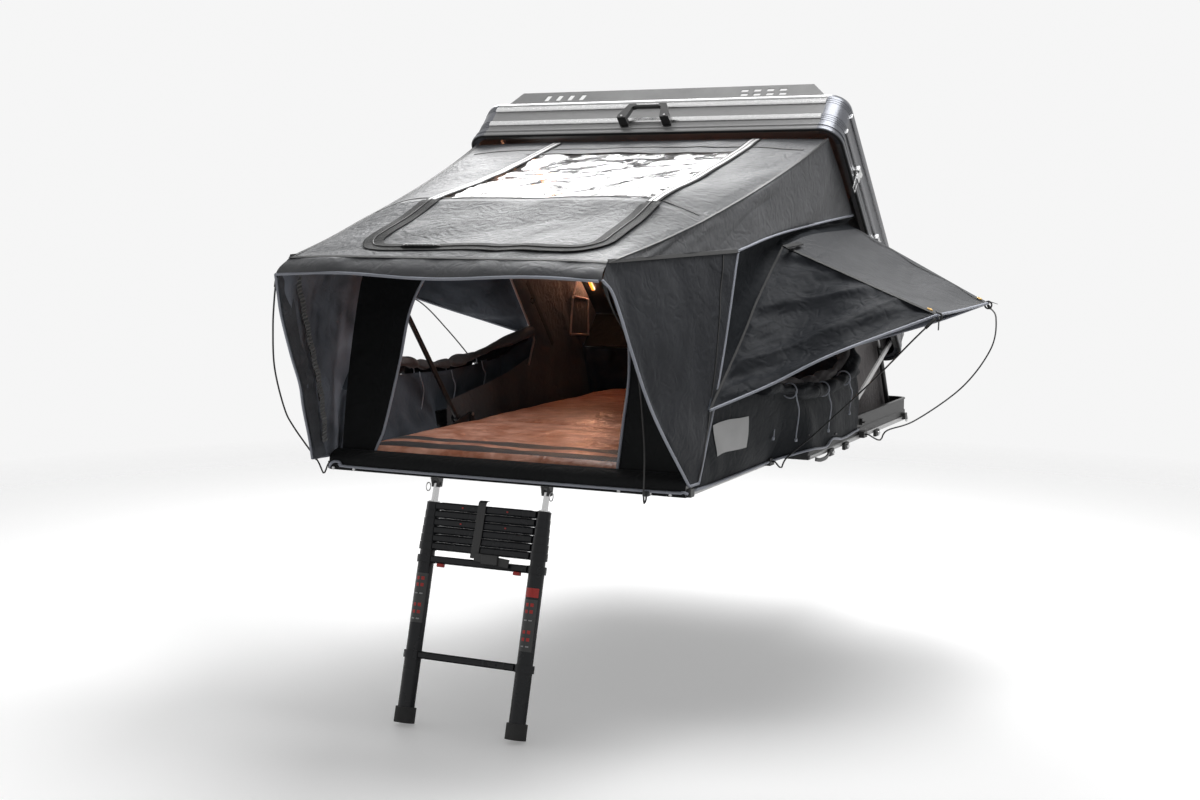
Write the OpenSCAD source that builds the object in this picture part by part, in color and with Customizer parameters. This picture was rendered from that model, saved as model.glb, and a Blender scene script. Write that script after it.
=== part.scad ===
// Roof top tent, opened: base shell, raised lid, fold-out floor, cloth and ladder.
// Millimetres, Z up, Y towards the rear, origin in the middle of the roof bar bolts.

/* [Shell] */
// Outer width of base and lid
shell_w = 1560; // [1540:2:1600]
// Outer length of base and lid
shell_l = 1320; // [1300:2:1360]
// Height of the base rim above the mounting plane
rim_z = 95; // [94:1:104]
// Height of the lid walls
lid_t = 210; // [200:1:240]
// Outer corner radius of the lid
lid_corner_r = 80; // [70:1:95]
// Outer corner radius of the base
base_corner_r = 60; // [52:1:75]
// Lid angle when open
lid_open = 44.6; // [40:0.1:46]
// Lift arm angle when open
arm_open = 22.4; // [21:0.1:24]

/* [Floor] */
// Width of the fold-out floor
fold_w = 1338; // [1330:1:1344]
// Reach of the fold-out floor in front of the base
fold_out = 870; // [840:2:880]
// Thickness of the mattress
mattress_t = 50; // [40:1:50]
// Height of the fold hinge line
hinge_z = 84; // [84:0.5:85]
// Gap between the mattress and the side of the floor frame
mattress_gap = 15; // [12:1:40]

/* [Bow] */
// Reach of the folding bow from its pivot
bow_reach = 1070; // [1062:1:1080]
// Angle of the bow above the horizontal
bow_rise = 50.5; // [50:0.1:51]
// Radius of the bow tube
bow_r = 10; // [8:0.5:10]
// Corner radius of the bow
bow_corner_r = 250; // [230:2:260]

/* [Ladder] */
// Distance between the ladder rails
rail_pitch = 420; // [400:2:440]
// Sideways position of the ladder
ladder_x = -40; // [-60:1:20]
// Lean of the ladder from the vertical
ladder_lean = 16.4; // [14:0.1:18]
// Outer diameter of the lowest ladder tube
tube_d = 56; // [55:0.5:60]
// Distance between stacked rungs
rung_pitch = 27; // [27:0.5:30]
// Height of a ladder collar
collar_h = 26; // [22:0.5:26]
// Distance between the two extended rungs
rung_step = 319; // [300:1:320]

/* [Cloth] */
// Height of the front ridge above the mounting plane
ridge_z = 743; // [735:1:755]
// Half width of the front ridge
ridge_hw = 565; // [550:1:580]
// Reach of the awnings from the middle
awning_x = 1300; // [1250:5:1330]
// Thickness of the cloth solids
cloth_t = 1.6; // [1.2:0.1:2]

/* [Hidden] */
$fn = 48;

half_w = shell_w / 2;
half_l = shell_l / 2;

// base sizes
rail_t = 28;
rail_h = 42;
floor_z0 = 20;
floor_z1 = 32;
floor_x = half_w - rail_t;
front_cap = 20;
rim_top = rim_z - 2;
mount_x = 400;
mount_y = 400;
mount_hole_r = 4.5;

// lift arms and struts
arm_x = half_w - 34;
arm_th = 8;
arm_y = -220;
arm_z = 46;
arm_eye_r = 13;
pin_s = 100;
pin_t = 28;
arm_dy = half_l - pin_s - arm_y;
arm_dz = rim_z + pin_t - arm_z;
arm_l = sqrt(arm_dy * arm_dy + arm_dz * arm_dz);
arm_py = arm_y + arm_l * cos(arm_open);
arm_pz = arm_z + arm_l * sin(arm_open);
lid_py = arm_py + pin_s * cos(lid_open) - pin_t * sin(lid_open);
lid_pz = arm_pz - pin_s * sin(lid_open) - pin_t * cos(lid_open);
strut_x = half_w - 60;
strut_y = half_l - 100;
strut_z = 50;
stud_s = 437;
stud_t = 30;
stud_y = lid_py - stud_s * cos(lid_open) + stud_t * sin(lid_open);
stud_z = lid_pz + stud_s * sin(lid_open) + stud_t * cos(lid_open);
strut_l = sqrt((stud_y - strut_y) * (stud_y - strut_y) + (stud_z - strut_z) * (stud_z - strut_z));
strut_a = atan2(stud_z - strut_z, strut_y - stud_y);
fit = 0.05;
press = 0.02;

// fold-out floor
fold_hw = fold_w / 2;
fold_y1 = -half_l - fold_out;
hinge_y = -half_l + 55;
fold_in = fold_hw - 29;
leaf_x = fold_in + 4;
socket_x = fold_hw - 128;
hinge_r = 4;
eye_r = 9;
mat_hw = fold_in - mattress_gap;

// bow
bow_x = fold_in + 24;
bow_y = -half_l - 20;
bow_z = 76;
bow_pin_r = 6;
knuckle_at = 600;

// lid
lid_in = 25;
lid_skin = 7;
panel_z = lid_t - 12;
rib_z = [62, 142];
rib_h = 24;
cap_line_z = [56, 66, 76, 86, 150, 160, 170];
latch_at = [-1050, -680];
latch_u = 14;
latch_z = 64;
fairing_hw = 675;
grip_x = 72;
grip_z = 108;
grip_out = 47;

// ladder
hook_y = fold_y1 + 18;
hook_z = -30;
step_d = 2.6;
wall_d = 2.5;
section_n = 8;
top_gap = 64;
tube_l = 390;
low_gap = 17;
foot_z = -802;
function od(k) = tube_d - (section_n - k) * step_d;
function section_z(k) = k < 7 ? -top_gap - (k - 1) * rung_pitch
  : k == 7 ? -top_gap - 6 * rung_pitch - low_gap
  : -top_gap - 6 * rung_pitch - low_gap - rung_step;
function section_end(k) = k == 8 ? foot_z + 10 : section_z(k) - tube_l;

// cloth
ridge_y = fold_y1 - 350;
eave_y = ridge_y - 53;
eave_z = ridge_z - 58;
bow_top_y = bow_y - bow_reach * cos(bow_rise);
bow_top_z = bow_z + bow_reach * sin(bow_rise);
tip_y = [fold_y1 + 596, fold_y1 + 1347];
tip_z = 548;
corner_g = [fold_hw + 31, fold_y1 + 362, 758];
corner_k = [fold_hw + 27, fold_y1 + 140, 258];
corner_f = [fold_hw + 6, fold_y1 + 8, 36];

function mix(a, b, t) = a + (b - a) * t;
function lid_pt(x, yl, zl) = [x, lid_py + yl * cos(lid_open) + zl * sin(lid_open),
  lid_pz - yl * sin(lid_open) + zl * cos(lid_open)];

corner_h = lid_pt(half_w - 30, -shell_l + 440, -10);

// Carries lid pieces from the closed lid's own frame to the open pose
module lid_pose() {
  translate([0, lid_py, lid_pz])
    rotate([-lid_open, 0, 0])
      children();
}

// Carries bow pieces, drawn flat towards the front, to the raised pose
module bow_pose() {
  translate([0, bow_y, bow_z])
    rotate([-bow_rise, 0, 0])
      children();
}

// Carries ladder pieces, drawn upright under the hook pin, to the leaning pose
module ladder_pose() {
  translate([ladder_x, hook_y, hook_z])
    rotate([-ladder_lean, 0, 0])
      children();
}

// Repeats a right-hand piece on the left
module both_sides() {
  children();
  mirror([1, 0, 0])
    children();
}

// Cylinder along X from x0 to x1
module rod_x(r, x0, x1) {
  translate([x0, 0, 0])
    rotate([0, 90, 0])
      cylinder(r = r, h = x1 - x0);
}

// Plate in the YZ plane between x0 and x1
module plate_x(pts, x0, x1) {
  translate([x0, 0, 0])
    rotate([90, 0, 90])
      linear_extrude(x1 - x0)
        polygon(pts);
}

// Rounded slab
module round_slab(x0, x1, y0, y1, z0, z1, r) {
  translate([x0 + r, y0, z0])
    cube([x1 - x0 - 2 * r, y1 - y0, z1 - z0]);
  translate([x0, y0 + r, z0])
    cube([x1 - x0, y1 - y0 - 2 * r, z1 - z0]);
  for (x = [x0 + r, x1 - r], y = [y0 + r, y1 - r])
    translate([x, y, z0])
      cylinder(r = r, h = z1 - z0);
}

// Closed solid between two grids of points of the same size
module skin(a, b) {
  nr = len(a);
  nc = len(a[0]);
  n = nr * nc;
  pts = concat([for (r = a) for (p = r) p], [for (r = b) for (p = r) p]);
  top = [for (r = [0 : nr - 2]) for (c = [0 : nc - 2]) each [
    [r * nc + c, r * nc + c + 1, r * nc + nc + c + 1],
    [r * nc + c, r * nc + nc + c + 1, r * nc + nc + c]]];
  low = [for (f = top) [f[2] + n, f[1] + n, f[0] + n]];
  ring = concat([for (c = [0 : nc - 1]) c], [for (r = [1 : nr - 1]) r * nc + nc - 1],
    [for (c = [nc - 2 : -1 : 0]) (nr - 1) * nc + c], [for (r = [nr - 2 : -1 : 1]) r * nc]);
  m = len(ring);
  side = [for (i = [0 : m - 1]) each [
    [ring[i], ring[i] + n, ring[(i + 1) % m]],
    [ring[(i + 1) % m], ring[i] + n, ring[(i + 1) % m] + n]]];
  polyhedron(pts, concat(top, low, side), convexity = 6);
}

// Cloth of even thickness, moved by d from its outer grid
module cloth(g, d) {
  skin(g, [for (r = g) [for (p = r) p + d]]);
}

// Smooth path through hand-placed points
function bend(p, i, t) = let (
  a = p[max(i - 1, 0)], b = p[i], c = p[i + 1], d = p[min(i + 2, len(p) - 1)])
  0.5 * (2 * b + (c - a) * t + (2 * a - 5 * b + 4 * c - d) * t * t
    + (3 * b - a - 3 * c + d) * t * t * t);
function smooth(p, k) = concat([for (i = [0 : len(p) - 2]) for (j = [0 : k - 1]) bend(p, i, j / k)],
  [p[len(p) - 1]]);
function unit(v) = v / norm(v);

// Thin rod along a path
module wire(path, r) {
  n = 7;
  m = len(path);
  ref = unit([0.31, 0.67, 0.22]);
  tan = [for (i = [0 : m - 1]) unit(path[min(i + 1, m - 1)] - path[max(i - 1, 0)])];
  pts = [for (i = [0 : m - 1])
    let (u = unit(cross(tan[i], ref)), v = cross(tan[i], u))
      for (j = [0 : n - 1]) path[i] + r * (u * cos(360 * j / n) + v * sin(360 * j / n))];
  wall = [for (i = [0 : m - 2]) for (j = [0 : n - 1]) each [
    [i * n + j, i * n + n + j, i * n + (j + 1) % n],
    [i * n + (j + 1) % n, i * n + n + j, i * n + n + (j + 1) % n]]];
  start = [for (j = [1 : n - 2]) [0, j, j + 1]];
  stop = [for (j = [1 : n - 2]) [(m - 1) * n, (m - 1) * n + j + 1, (m - 1) * n + j]];
  polyhedron(pts, concat(wall, start, stop), convexity = 8);
}

// Base rail section, outer face at zero, drawn towards minus x
rail_section = [[-rail_t, 0], [0, 0], [0, 12], [-3, 15], [-3, 22], [0, 25], [0, rail_h],
  [-4, rail_h + 3], [-4, rim_top - 6], [0, rim_top - 4], [0, rim_top], [-14, rim_top],
  [-14, rim_top - 4], [-10, rim_top - 6], [-10, rail_h + 3], [-rail_t, rail_h - 6]];

module base_floor() {
  color([0.16, 0.16, 0.17])
    difference() {
      translate([-floor_x, -half_l + front_cap, floor_z0])
        cube([2 * floor_x, shell_l - front_cap - rail_t, floor_z1 - floor_z0]);
      both_sides()
        translate([half_w - base_corner_r, half_l - base_corner_r, 0])
          difference() {
            translate([0, 0, floor_z0 - 1])
              cube([base_corner_r, base_corner_r, floor_z1 - floor_z0 + 2]);
            cylinder(r = base_corner_r - rail_t, h = rim_z);
          }
    }
}

module base_side_rails() {
  color([0.72, 0.72, 0.72])
    both_sides()
      translate([half_w, half_l - base_corner_r, 0])
        rotate([90, 0, 0])
          linear_extrude(shell_l - base_corner_r - front_cap)
            polygon(rail_section);
}

module base_rear_rail() {
  color([0.72, 0.72, 0.72])
    translate([-half_w + base_corner_r, half_l, 0])
      rotate([90, 0, 90])
        linear_extrude(shell_w - 2 * base_corner_r)
          polygon(rail_section);
}

module base_front_sill() {
  color([0.1, 0.1, 0.1])
    translate([-floor_x, -half_l, 0])
      cube([2 * floor_x, front_cap, floor_z1 - 2]);
}

module base_corner_caps() {
  color([0.08, 0.08, 0.08])
    both_sides() {
      translate([half_w - base_corner_r, half_l - base_corner_r, 0])
        rotate_extrude(angle = 90)
          translate([base_corner_r, 0])
            polygon(rail_section);
      translate([half_w, -half_l + front_cap, 0])
        rotate([90, 0, 0])
          linear_extrude(front_cap)
            polygon(rail_section);
    }
}

module mount_rails() {
  color([0.6, 0.6, 0.62])
    difference() {
      for (x = [-mount_x, mount_x])
        translate([x - 30, -half_l + 60, 0])
          cube([60, shell_l - 120, floor_z0]);
      for (x = [-mount_x, mount_x], y = [-mount_y, mount_y])
        translate([x, y, -1])
          cylinder(r = mount_hole_r, h = floor_z0 + 2);
    }
}

module arm_brackets() {
  color([0.1, 0.1, 0.1])
    both_sides() {
      translate([0, arm_y, 0]) {
        plate_x([[-24, floor_z1], [24, floor_z1], [9, arm_z + 10], [-9, arm_z + 10]],
          arm_x - 13, arm_x - 7);
        translate([0, 0, arm_z])
          rod_x(5, arm_x - 13, arm_x + 5);
      }
      translate([0, strut_y, 0]) {
        plate_x([[-20, floor_z1], [20, floor_z1], [8, strut_z + 10], [-8, strut_z + 10]],
          strut_x + 14, strut_x + 20);
        translate([0, 0, strut_z])
          rod_x(5, strut_x - 9, strut_x + 20);
      }
    }
}

module floor_hinge_posts() {
  color([0.1, 0.1, 0.1])
    both_sides()
      difference() {
        union() {
          plate_x([[hinge_y - 26, floor_z1], [hinge_y + 26, floor_z1], [hinge_y + eye_r, hinge_z],
            [hinge_y - eye_r, hinge_z]], leaf_x - 8, leaf_x - 2);
          translate([0, hinge_y, hinge_z])
            rod_x(eye_r, leaf_x - 8, leaf_x - 2);
        }
        translate([0, hinge_y, hinge_z])
          rod_x(hinge_r + press, leaf_x - 9, leaf_x);
      }
}

module hinge_pins() {
  color([0.75, 0.75, 0.75])
    both_sides()
      translate([0, hinge_y, hinge_z]) {
        rod_x(hinge_r, leaf_x - 9, leaf_x + 7);
        rod_x(7, leaf_x - 11, leaf_x - 8);
        rod_x(7, leaf_x + 6.2, leaf_x + 8.6);
      }
}

module bow_brackets() {
  color([0.1, 0.1, 0.1])
    both_sides() {
      plate_x([[-half_l, 4], [-half_l, bow_z + 8], [bow_y - 10, bow_z + 10],
        [bow_y - 12, bow_z - 12], [-half_l - 4, 4]], bow_x + 12, bow_x + 18);
      translate([0, bow_y, bow_z]) {
        rod_x(bow_pin_r, bow_x - 9, bow_x + 18);
        rod_x(10, bow_x + 12, bow_x + 20);
      }
    }
}

module base_side_fittings() {
  color([0.07, 0.07, 0.07])
    both_sides() {
      for (s = latch_at)
        translate([0, half_l + s, 0]) {
          translate([half_w - 4, -9, 52])
            cube([10, 18, 24]);
          translate([half_w, -9, 60])
            cube([16, 18, 5]);
        }
      translate([half_w, -50, 4])
        cube([20, 44, 24]);
      translate([half_w, half_l - base_corner_r - 34, 6])
        cube([14, 28, 26]);
    }
}

// Crowned pad between two ends in y
function pad_top(hw, y0, y1, z0, t, n, m) = [for (j = [0 : m])
  let (v = j / m, y = mix(y0, y1, v), ev = min(1, 12 * min(v, 1 - v) + 0.5))
  [for (i = [0 : n])
    let (u = 2 * i / n - 1, eu = min(1, 9 * (1 - abs(u)) + 0.5))
    [hw * u, y, z0 + t * min(ev, eu) - 1.6 * (1 - cos(360 * i / n * 4)) * ev * eu]]];
function pad_low(hw, y0, y1, z0, n, m) = [for (j = [0 : m])
  [for (i = [0 : n]) [hw * (2 * i / n - 1), mix(y0, y1, j / m), z0]]];

module pad(y0, y1, z0, z1) {
  skin(pad_low(mat_hw, y0, y1, z0, 24, 14), pad_top(mat_hw, y0, y1, z0, z1 - z0, 24, 14));
}

module base_mattress() {
  color([0.42, 0.2, 0.11])
    pad(-half_l + 8, half_l - 50, floor_z1, floor_z1 + mattress_t);
}

rear_rod_path = [[half_w + 20.3, -28, 16], [half_w + 25, -28, 16],
  [half_w + 30, -28, 16], [half_w + 60, 34, -12],
  [half_w + 80, 60, 24], [half_w + 170, 150, 60], [half_w + 330, 240, 190],
  [half_w + 450, 190, 350], [half_w + 500, 40, 480], [awning_x - 4, tip_y[1] + 6, tip_z - 8]];

module base_rods() {
  color([0.05, 0.05, 0.05])
    both_sides()
      wire(smooth(rear_rod_path, 5), 3);
}

// Lower and upper edge of the right side wall, front to rear, up to its step inside the lift arm
wall_gap = 3;
inner_x = half_w - 80;
wall_low = [corner_f + [1, 30, 0], [fold_hw + 4, fold_y1 + 140, 36], [fold_hw + 4, fold_y1 + 420, 36],
  [fold_hw + 4, -half_l - 130, 36], [half_w + wall_gap, -half_l - 20, 80],
  [half_w + wall_gap, -300, 80], [half_w + wall_gap, -110, 80], [half_w + wall_gap, -84, 150],
  [inner_x + 5, -50, 150]];
wall_top = [corner_f + [1, 32, 30], corner_k, [fold_hw + 49, fold_y1 + 420, 250],
  [fold_hw + 66, -half_l - 130, 246], [half_w - 24, -half_l + 30, 246], [half_w - 16, -300, 250],
  [half_w - 14, -90, 260], [half_w - 14, -60, 300], [inner_x + 5, 0, 310]];

// Outline of the wall panel inside the lift arm, as y and z
function yz(p) = [p[1], p[2]];
panel_rim = [[-60, floor_z1 + 0.4], [half_l - rail_t - 1, floor_z1 + 0.4], [half_l - rail_t - 2, 60],
  yz(lid_pt(0, -21, -27)), yz(lid_pt(0, -36, 20)), yz(lid_pt(0, -36, 180)),
  yz(lid_pt(0, -shell_l + 520, 180)), yz(lid_pt(0, -shell_l + 440, 0)),
  yz(lid_pt(0, -shell_l + 257, -226)), [-160, 588], [26, 348], [20, 300], [-50, 150]];

module side_walls() {
  color([0.06, 0.06, 0.06])
    both_sides() {
      cloth([for (j = [0 : 4]) [for (i = [0 : len(wall_low) - 1])
        mix(wall_low[i], wall_top[i], j / 4)
          + [5 * sin(180 * j / 4) * ((i % 2) - 0.3), 0, 0]]], [cloth_t, 0, 0]);
      plate_x(panel_rim, inner_x + 0.4, inner_x + 0.4 + cloth_t);
    }
}

module rear_wall() {
  color([0.06, 0.06, 0.06])
    cloth([for (j = [0 : 4]) [for (i = [0 : 12])
      let (x = inner_x * (i / 6 - 1))
        mix([x, half_l - 10.4, 60], lid_pt(x, -10, -10), j / 4)
          - [0, 4 * sin(180 * j / 4) * (1 + cos(180 * i)), 0]]], [0, -cloth_t, 0]);
}

module window_rolls() {
  color([0.12, 0.12, 0.12])
    both_sides()
      wire(smooth([for (i = [2 : 5]) wall_top[i] + [22, i == 2 ? 40 : 0, 17]], 6), 26);
}

module organizer_pocket() {
  color([0.2, 0.2, 0.2])
    plate_x([[372, 330], [556, 316], [548, 480], [400, 500]], -inner_x + 0.3, -inner_x + 6.3);
}

module lift_arms() {
  color([0.2, 0.2, 0.21])
    both_sides()
      translate([0, arm_y, arm_z])
        rotate([arm_open, 0, 0])
          difference() {
            union() {
              translate([arm_x - arm_th / 2, 0, -11])
                cube([arm_th, arm_l, 22]);
              rod_x(arm_eye_r, arm_x - arm_th / 2, arm_x + arm_th / 2);
              translate([0, arm_l, 0])
                rod_x(arm_eye_r, arm_x - arm_th / 2, arm_x + arm_th / 2);
            }
            rod_x(5 + fit, arm_x - 10, arm_x + 10);
            translate([0, arm_l, 0])
              rod_x(6 + fit, arm_x - 10, arm_x + 10);
          }
}

// Carries strut pieces, drawn forward along minus y, to the raised pose
module strut_pose() {
  translate([0, strut_y, strut_z])
    rotate([-strut_a, 0, 0])
      children();
}

module strut_cylinders() {
  color([0.06, 0.06, 0.06])
    both_sides()
      strut_pose() {
        difference() {
          rod_x(9, strut_x - 6, strut_x + 6);
          rod_x(5 + fit, strut_x - 8, strut_x + 8);
        }
        translate([strut_x, -7, 0])
          rotate([90, 0, 0])
            difference() {
              cylinder(r = 10, h = 303);
              translate([0, 0, 12])
                cylinder(r = 5, h = 300);
            }
      }
}

module strut_rods() {
  color([0.75, 0.75, 0.75])
    both_sides()
      strut_pose() {
        translate([0, -strut_l, 0])
          difference() {
            rod_x(9, strut_x - 6, strut_x + 6);
            rod_x(5 + fit, strut_x - 8, strut_x + 8);
          }
        translate([strut_x, -strut_l + 7, 0])
          rotate([-90, 0, 0])
            cylinder(r = 4.95, h = strut_l - 295);
      }
}

// Lid wall section, outer face at zero, drawn towards minus x
lid_section = [[-lid_in, 6], [-8, 6], [-8, 0], [4, 0], [6, 3], [6, 12], [3, 16], [0, 18], [0, 24],
  [3, 26], [3, 34], [0, 36], [-3, 38], [-3, lid_t - 28], [-8, lid_t - 14], [-18, lid_t - 4],
  [-lid_in, lid_t - 4], [-lid_in, panel_z], [-20, panel_z], [-12, lid_t - 19], [-7, lid_t - 30],
  [-7, 12], [-lid_in, 12]];

// One rib strip section
function rib_section(z) = [[-3, z], [1, z], [4, z + 4], [4, z + rib_h - 4], [1, z + rib_h],
  [-3, z + rib_h]];

// Straight runs of a section along the four lid walls
module lid_runs(pts) {
  both_sides()
    translate([half_w, -lid_corner_r, 0])
      rotate([90, 0, 0])
        linear_extrude(shell_l - 2 * lid_corner_r)
          polygon(pts);
  translate([-half_w + lid_corner_r, 0, 0])
    rotate([90, 0, 90])
      linear_extrude(shell_w - 2 * lid_corner_r)
        polygon(pts);
  translate([half_w - lid_corner_r, -shell_l, 0])
    rotate([90, 0, -90])
      linear_extrude(shell_w - 2 * lid_corner_r)
        polygon(pts);
}

module lid_frame() {
  color([0.14, 0.14, 0.15])
    lid_pose()
      lid_runs(lid_section);
}

module lid_ribs() {
  color([0.72, 0.73, 0.74])
    lid_pose()
      for (z = rib_z)
        lid_runs(rib_section(z));
}

module lid_corner_caps() {
  color([0.05, 0.05, 0.05])
    lid_pose()
      for (k = [[1, 0], [-1, 90], [-1, 180], [1, 270]])
        translate([k[0] * (half_w - lid_corner_r),
          k[1] < 100 ? -lid_corner_r : lid_corner_r - shell_l, 0])
          rotate([0, 0, k[1]])
            rotate_extrude(angle = 90)
              translate([lid_corner_r, 0]) {
                polygon(lid_section);
                for (z = cap_line_z)
                  translate([-4, z])
                    square([2, 4]);
              }
}

module lid_panel() {
  color([0.12, 0.12, 0.13])
    lid_pose() {
      round_slab(lid_in - half_w, half_w - lid_in, lid_in - shell_l, -lid_in, panel_z, panel_z + 5,
        lid_corner_r - lid_in);
      for (i = [-3 : 3])
        translate([i * 180 - 30, -shell_l + 140, panel_z + 5])
          cube([60, shell_l - 280, 4]);
    }
}

module lid_seal() {
  color([0.03, 0.03, 0.03])
    lid_pose()
      difference() {
        round_slab(-half_w - 2, half_w + 2, -shell_l - 2, 2, -1.7, 0, lid_corner_r + 2);
        translate([0, 0, -1])
          round_slab(6 - half_w, half_w - 6, 6 - shell_l, -6, -1.7, 2, lid_corner_r - 6);
      }
}

// Carry handle on the front of the lid: two feet, two slanted legs and a bar
module grab_handle() {
  color([0.05, 0.05, 0.05])
    lid_pose()
      translate([0, -shell_l, 0]) {
        both_sides() {
          translate([grip_x, -grip_out, 40])
            cube([36, grip_out + 3, 18]);
          translate([0, 18 - grip_out, 0])
            rotate([90, 0, 0])
              linear_extrude(18)
                polygon([[grip_x, 40], [grip_x + 36, 40], [grip_x + 36, 54], [grip_x + 6, grip_z + 9],
                  [grip_x - 24, grip_z + 9], [grip_x - 24, grip_z - 6], [grip_x - 12, grip_z - 9]]);
        }
        translate([0, 9 - grip_out, grip_z])
          rod_x(9, 22 - grip_x, grip_x - 22);
      }
}

// Hole of a front-view outline through the upright part of the fairing
module fairing_cut(pts) {
  translate([0, 40, 0])
    rotate([90, 0, 0])
      linear_extrude(40)
        polygon(pts);
}

module fairing_plate() {
  z0 = lid_t - 7;
  top = z0 + 61;
  color([0.1, 0.1, 0.1])
    lid_pose()
      translate([0, -shell_l, 0])
        difference() {
          plate_x([[28, z0], [58, z0], [58, z0 + 3], [30.4, z0 + 3], [15.9, top], [12.8, top]],
            -fairing_hw, fairing_hw);
          for (i = [0 : 8])
            translate([-fairing_hw + 65 + i * (2 * fairing_hw - 130) / 8, 48, z0 - 1])
              cylinder(r = 3.2, h = 5);
          both_sides()
            fairing_cut([[fairing_hw + 1, z0 + 10], [fairing_hw + 1, top + 1],
              [fairing_hw - 54, top + 1]]);
          for (i = [0 : 3], p = [[-520 + 52 * i, z0 + 22]])
            fairing_cut([p, p + [22, 0], p + [36, 24], p + [14, 24]]);
          for (i = [0 : 3], j = [0, 1], p = [[330 + 52 * i, z0 + 18 + 18 * j]])
            fairing_cut([p, p + [30, 0], p + [36, 11], p + [6, 11]]);
          for (s = [-1, 1], p = [[s * 300 - 40, z0 + 5]])
            fairing_cut([p, p + [80, 0], p + [80, 7], p + [0, 7]]);
        }
}

module lid_bolts() {
  color([0.55, 0.55, 0.56])
    lid_pose()
      translate([0, -shell_l, 0]) {
        for (i = [0 : 8])
          translate([-fairing_hw + 65 + i * (2 * fairing_hw - 130) / 8, 48, lid_t - 4])
            cylinder(r = 6, h = 4);
        for (s = [-1, 1])
          translate([s * (grip_x + 18), -grip_out, 48])
            rotate([90, 0, 0])
              cylinder(r = 4, h = 3);
      }
}

module lid_top_rails() {
  color([0.5, 0.5, 0.51])
    lid_pose()
      both_sides()
        translate([half_w - 62, -150, panel_z + 5])
          rotate([90, 0, 0])
            linear_extrude(shell_l - 330)
              polygon([[0, 0], [34, 0], [34, 22], [23, 22], [23, 19], [11, 19], [11, 22], [0, 22]]);
}

module latch_bases() {
  color([0.5, 0.5, 0.5])
    lid_pose()
      both_sides()
        for (s = latch_at)
          translate([half_w, s, 0]) {
            translate([-3, -22, 40])
              cube([7, 44, 20]);
            for (y = [-22, 16]) {
              translate([-3, y, 40])
                cube([latch_u + 10, 6, 20]);
              translate([latch_u, y, latch_z - 6])
                rotate([-90, 0, 0])
                  cylinder(r = 7, h = 6);
            }
            translate([latch_u, -22, latch_z - 6])
              rotate([-90, 0, 0])
                cylinder(r = 3, h = 44);
          }
}

// Over-centre lever with its bail, hanging from the latch pin
module latch_lever(side, s) {
  color([0.6, 0.6, 0.61])
    lid_pose()
      mirror([side < 0 ? 1 : 0, 0, 0])
        translate([half_w + latch_u, s, latch_z - 6])
          difference() {
            union() {
              translate([0, -14, 0])
                rotate([-90, 0, 0])
                  cylinder(r = 6, h = 28);
              translate([1, -14, -52])
                cube([5, 28, 50]);
              for (y = [-14, 10.5])
                translate([-2, y, -101])
                  cube([3.5, 3.5, 70]);
              translate([-2, -14, -101])
                cube([3.5, 28, 3.5]);
              for (y = [-14, 10.5])
                translate([-2, y, -44])
                  cube([4, 3.5, 12]);
            }
            translate([0, -15, 0])
              rotate([-90, 0, 0])
                cylinder(r = 3 + fit, h = 30);
          }
}

module latch_lever_front_right() {
  latch_lever(1, latch_at[0]);
}

module latch_lever_rear_right() {
  latch_lever(1, latch_at[1]);
}

module latch_lever_front_left() {
  latch_lever(-1, latch_at[0]);
}

module latch_lever_rear_left() {
  latch_lever(-1, latch_at[1]);
}

module lid_pivots() {
  color([0.3, 0.3, 0.3])
    lid_pose()
      both_sides() {
        translate([0, -pin_s, pin_t]) {
          rod_x(6, arm_x - 7, half_w - lid_skin);
          rod_x(14, arm_x + 4.5, half_w - lid_skin);
        }
        translate([0, -stud_s, stud_t]) {
          rod_x(5, strut_x + 7, half_w - lid_skin);
          rod_x(12, strut_x + 24, half_w - lid_skin);
        }
      }
}

module light_strip() {
  color([1, 0.62, 0.15])
    lid_pose()
      translate([-680, -1040, panel_z - 4])
        cube([12, 860, 4]);
}

// Roof rows from the lid to the eave: y, z, half width, edge drop
lid_lip = lid_pt(0, -shell_l + 29, -14);
roof_seat = bow_r + 5;
roof_rows = [
  [lid_pt(0, -shell_l + 31, 34)[1], lid_pt(0, -shell_l + 31, 34)[2], half_w - 74, 0],
  [lid_lip[1], lid_lip[2], half_w - 74, 2],
  [mix(bow_top_y, lid_lip[1], 0.66), mix(bow_top_z + roof_seat, lid_lip[2] + 29, 0.66) - 4, half_w - 74, 6],
  [mix(bow_top_y, lid_lip[1], 0.33), mix(bow_top_z + roof_seat, lid_lip[2] + 29, 0.33) - 4, fold_hw + 5, 10],
  [bow_top_y, bow_top_z + roof_seat, fold_hw - 29, 14],
  [mix(bow_top_y, ridge_y, 0.5), mix(bow_top_z + roof_seat, ridge_z, 0.5) - 3, mix(fold_hw - 29, ridge_hw, 0.5), 12],
  [ridge_y, ridge_z, ridge_hw, 4],
  [eave_y, eave_z, ridge_hw + 14, 0]];

function roof_pt(r, u) = [r[2] * u, r[0], r[1] - r[3] * u * u * u * u];

module canopy_roof() {
  color([0.19, 0.19, 0.19])
    cloth([for (r = roof_rows) [for (i = [0 : 20]) roof_pt(r, i / 10 - 1)]], [0, 0, -cloth_t]);
}

function roof_at(v, x) = let (k = min(floor(v), len(roof_rows) - 2), t = v - k,
  a = roof_rows[k], b = roof_rows[k + 1], hw = mix(a[2], b[2], t))
  mix(roof_pt(a, x / hw), roof_pt(b, x / hw), t) + [0, 0, 2.5];

module skylight_film() {
  color([0.85, 0.87, 0.9])
    cloth([for (j = [0 : 8]) [for (i = [0 : 8]) roof_at(mix(1.35, 3.75, j / 8), mix(-350, 450, i / 8))]],
      [0, 0, -0.8]);
}

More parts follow.
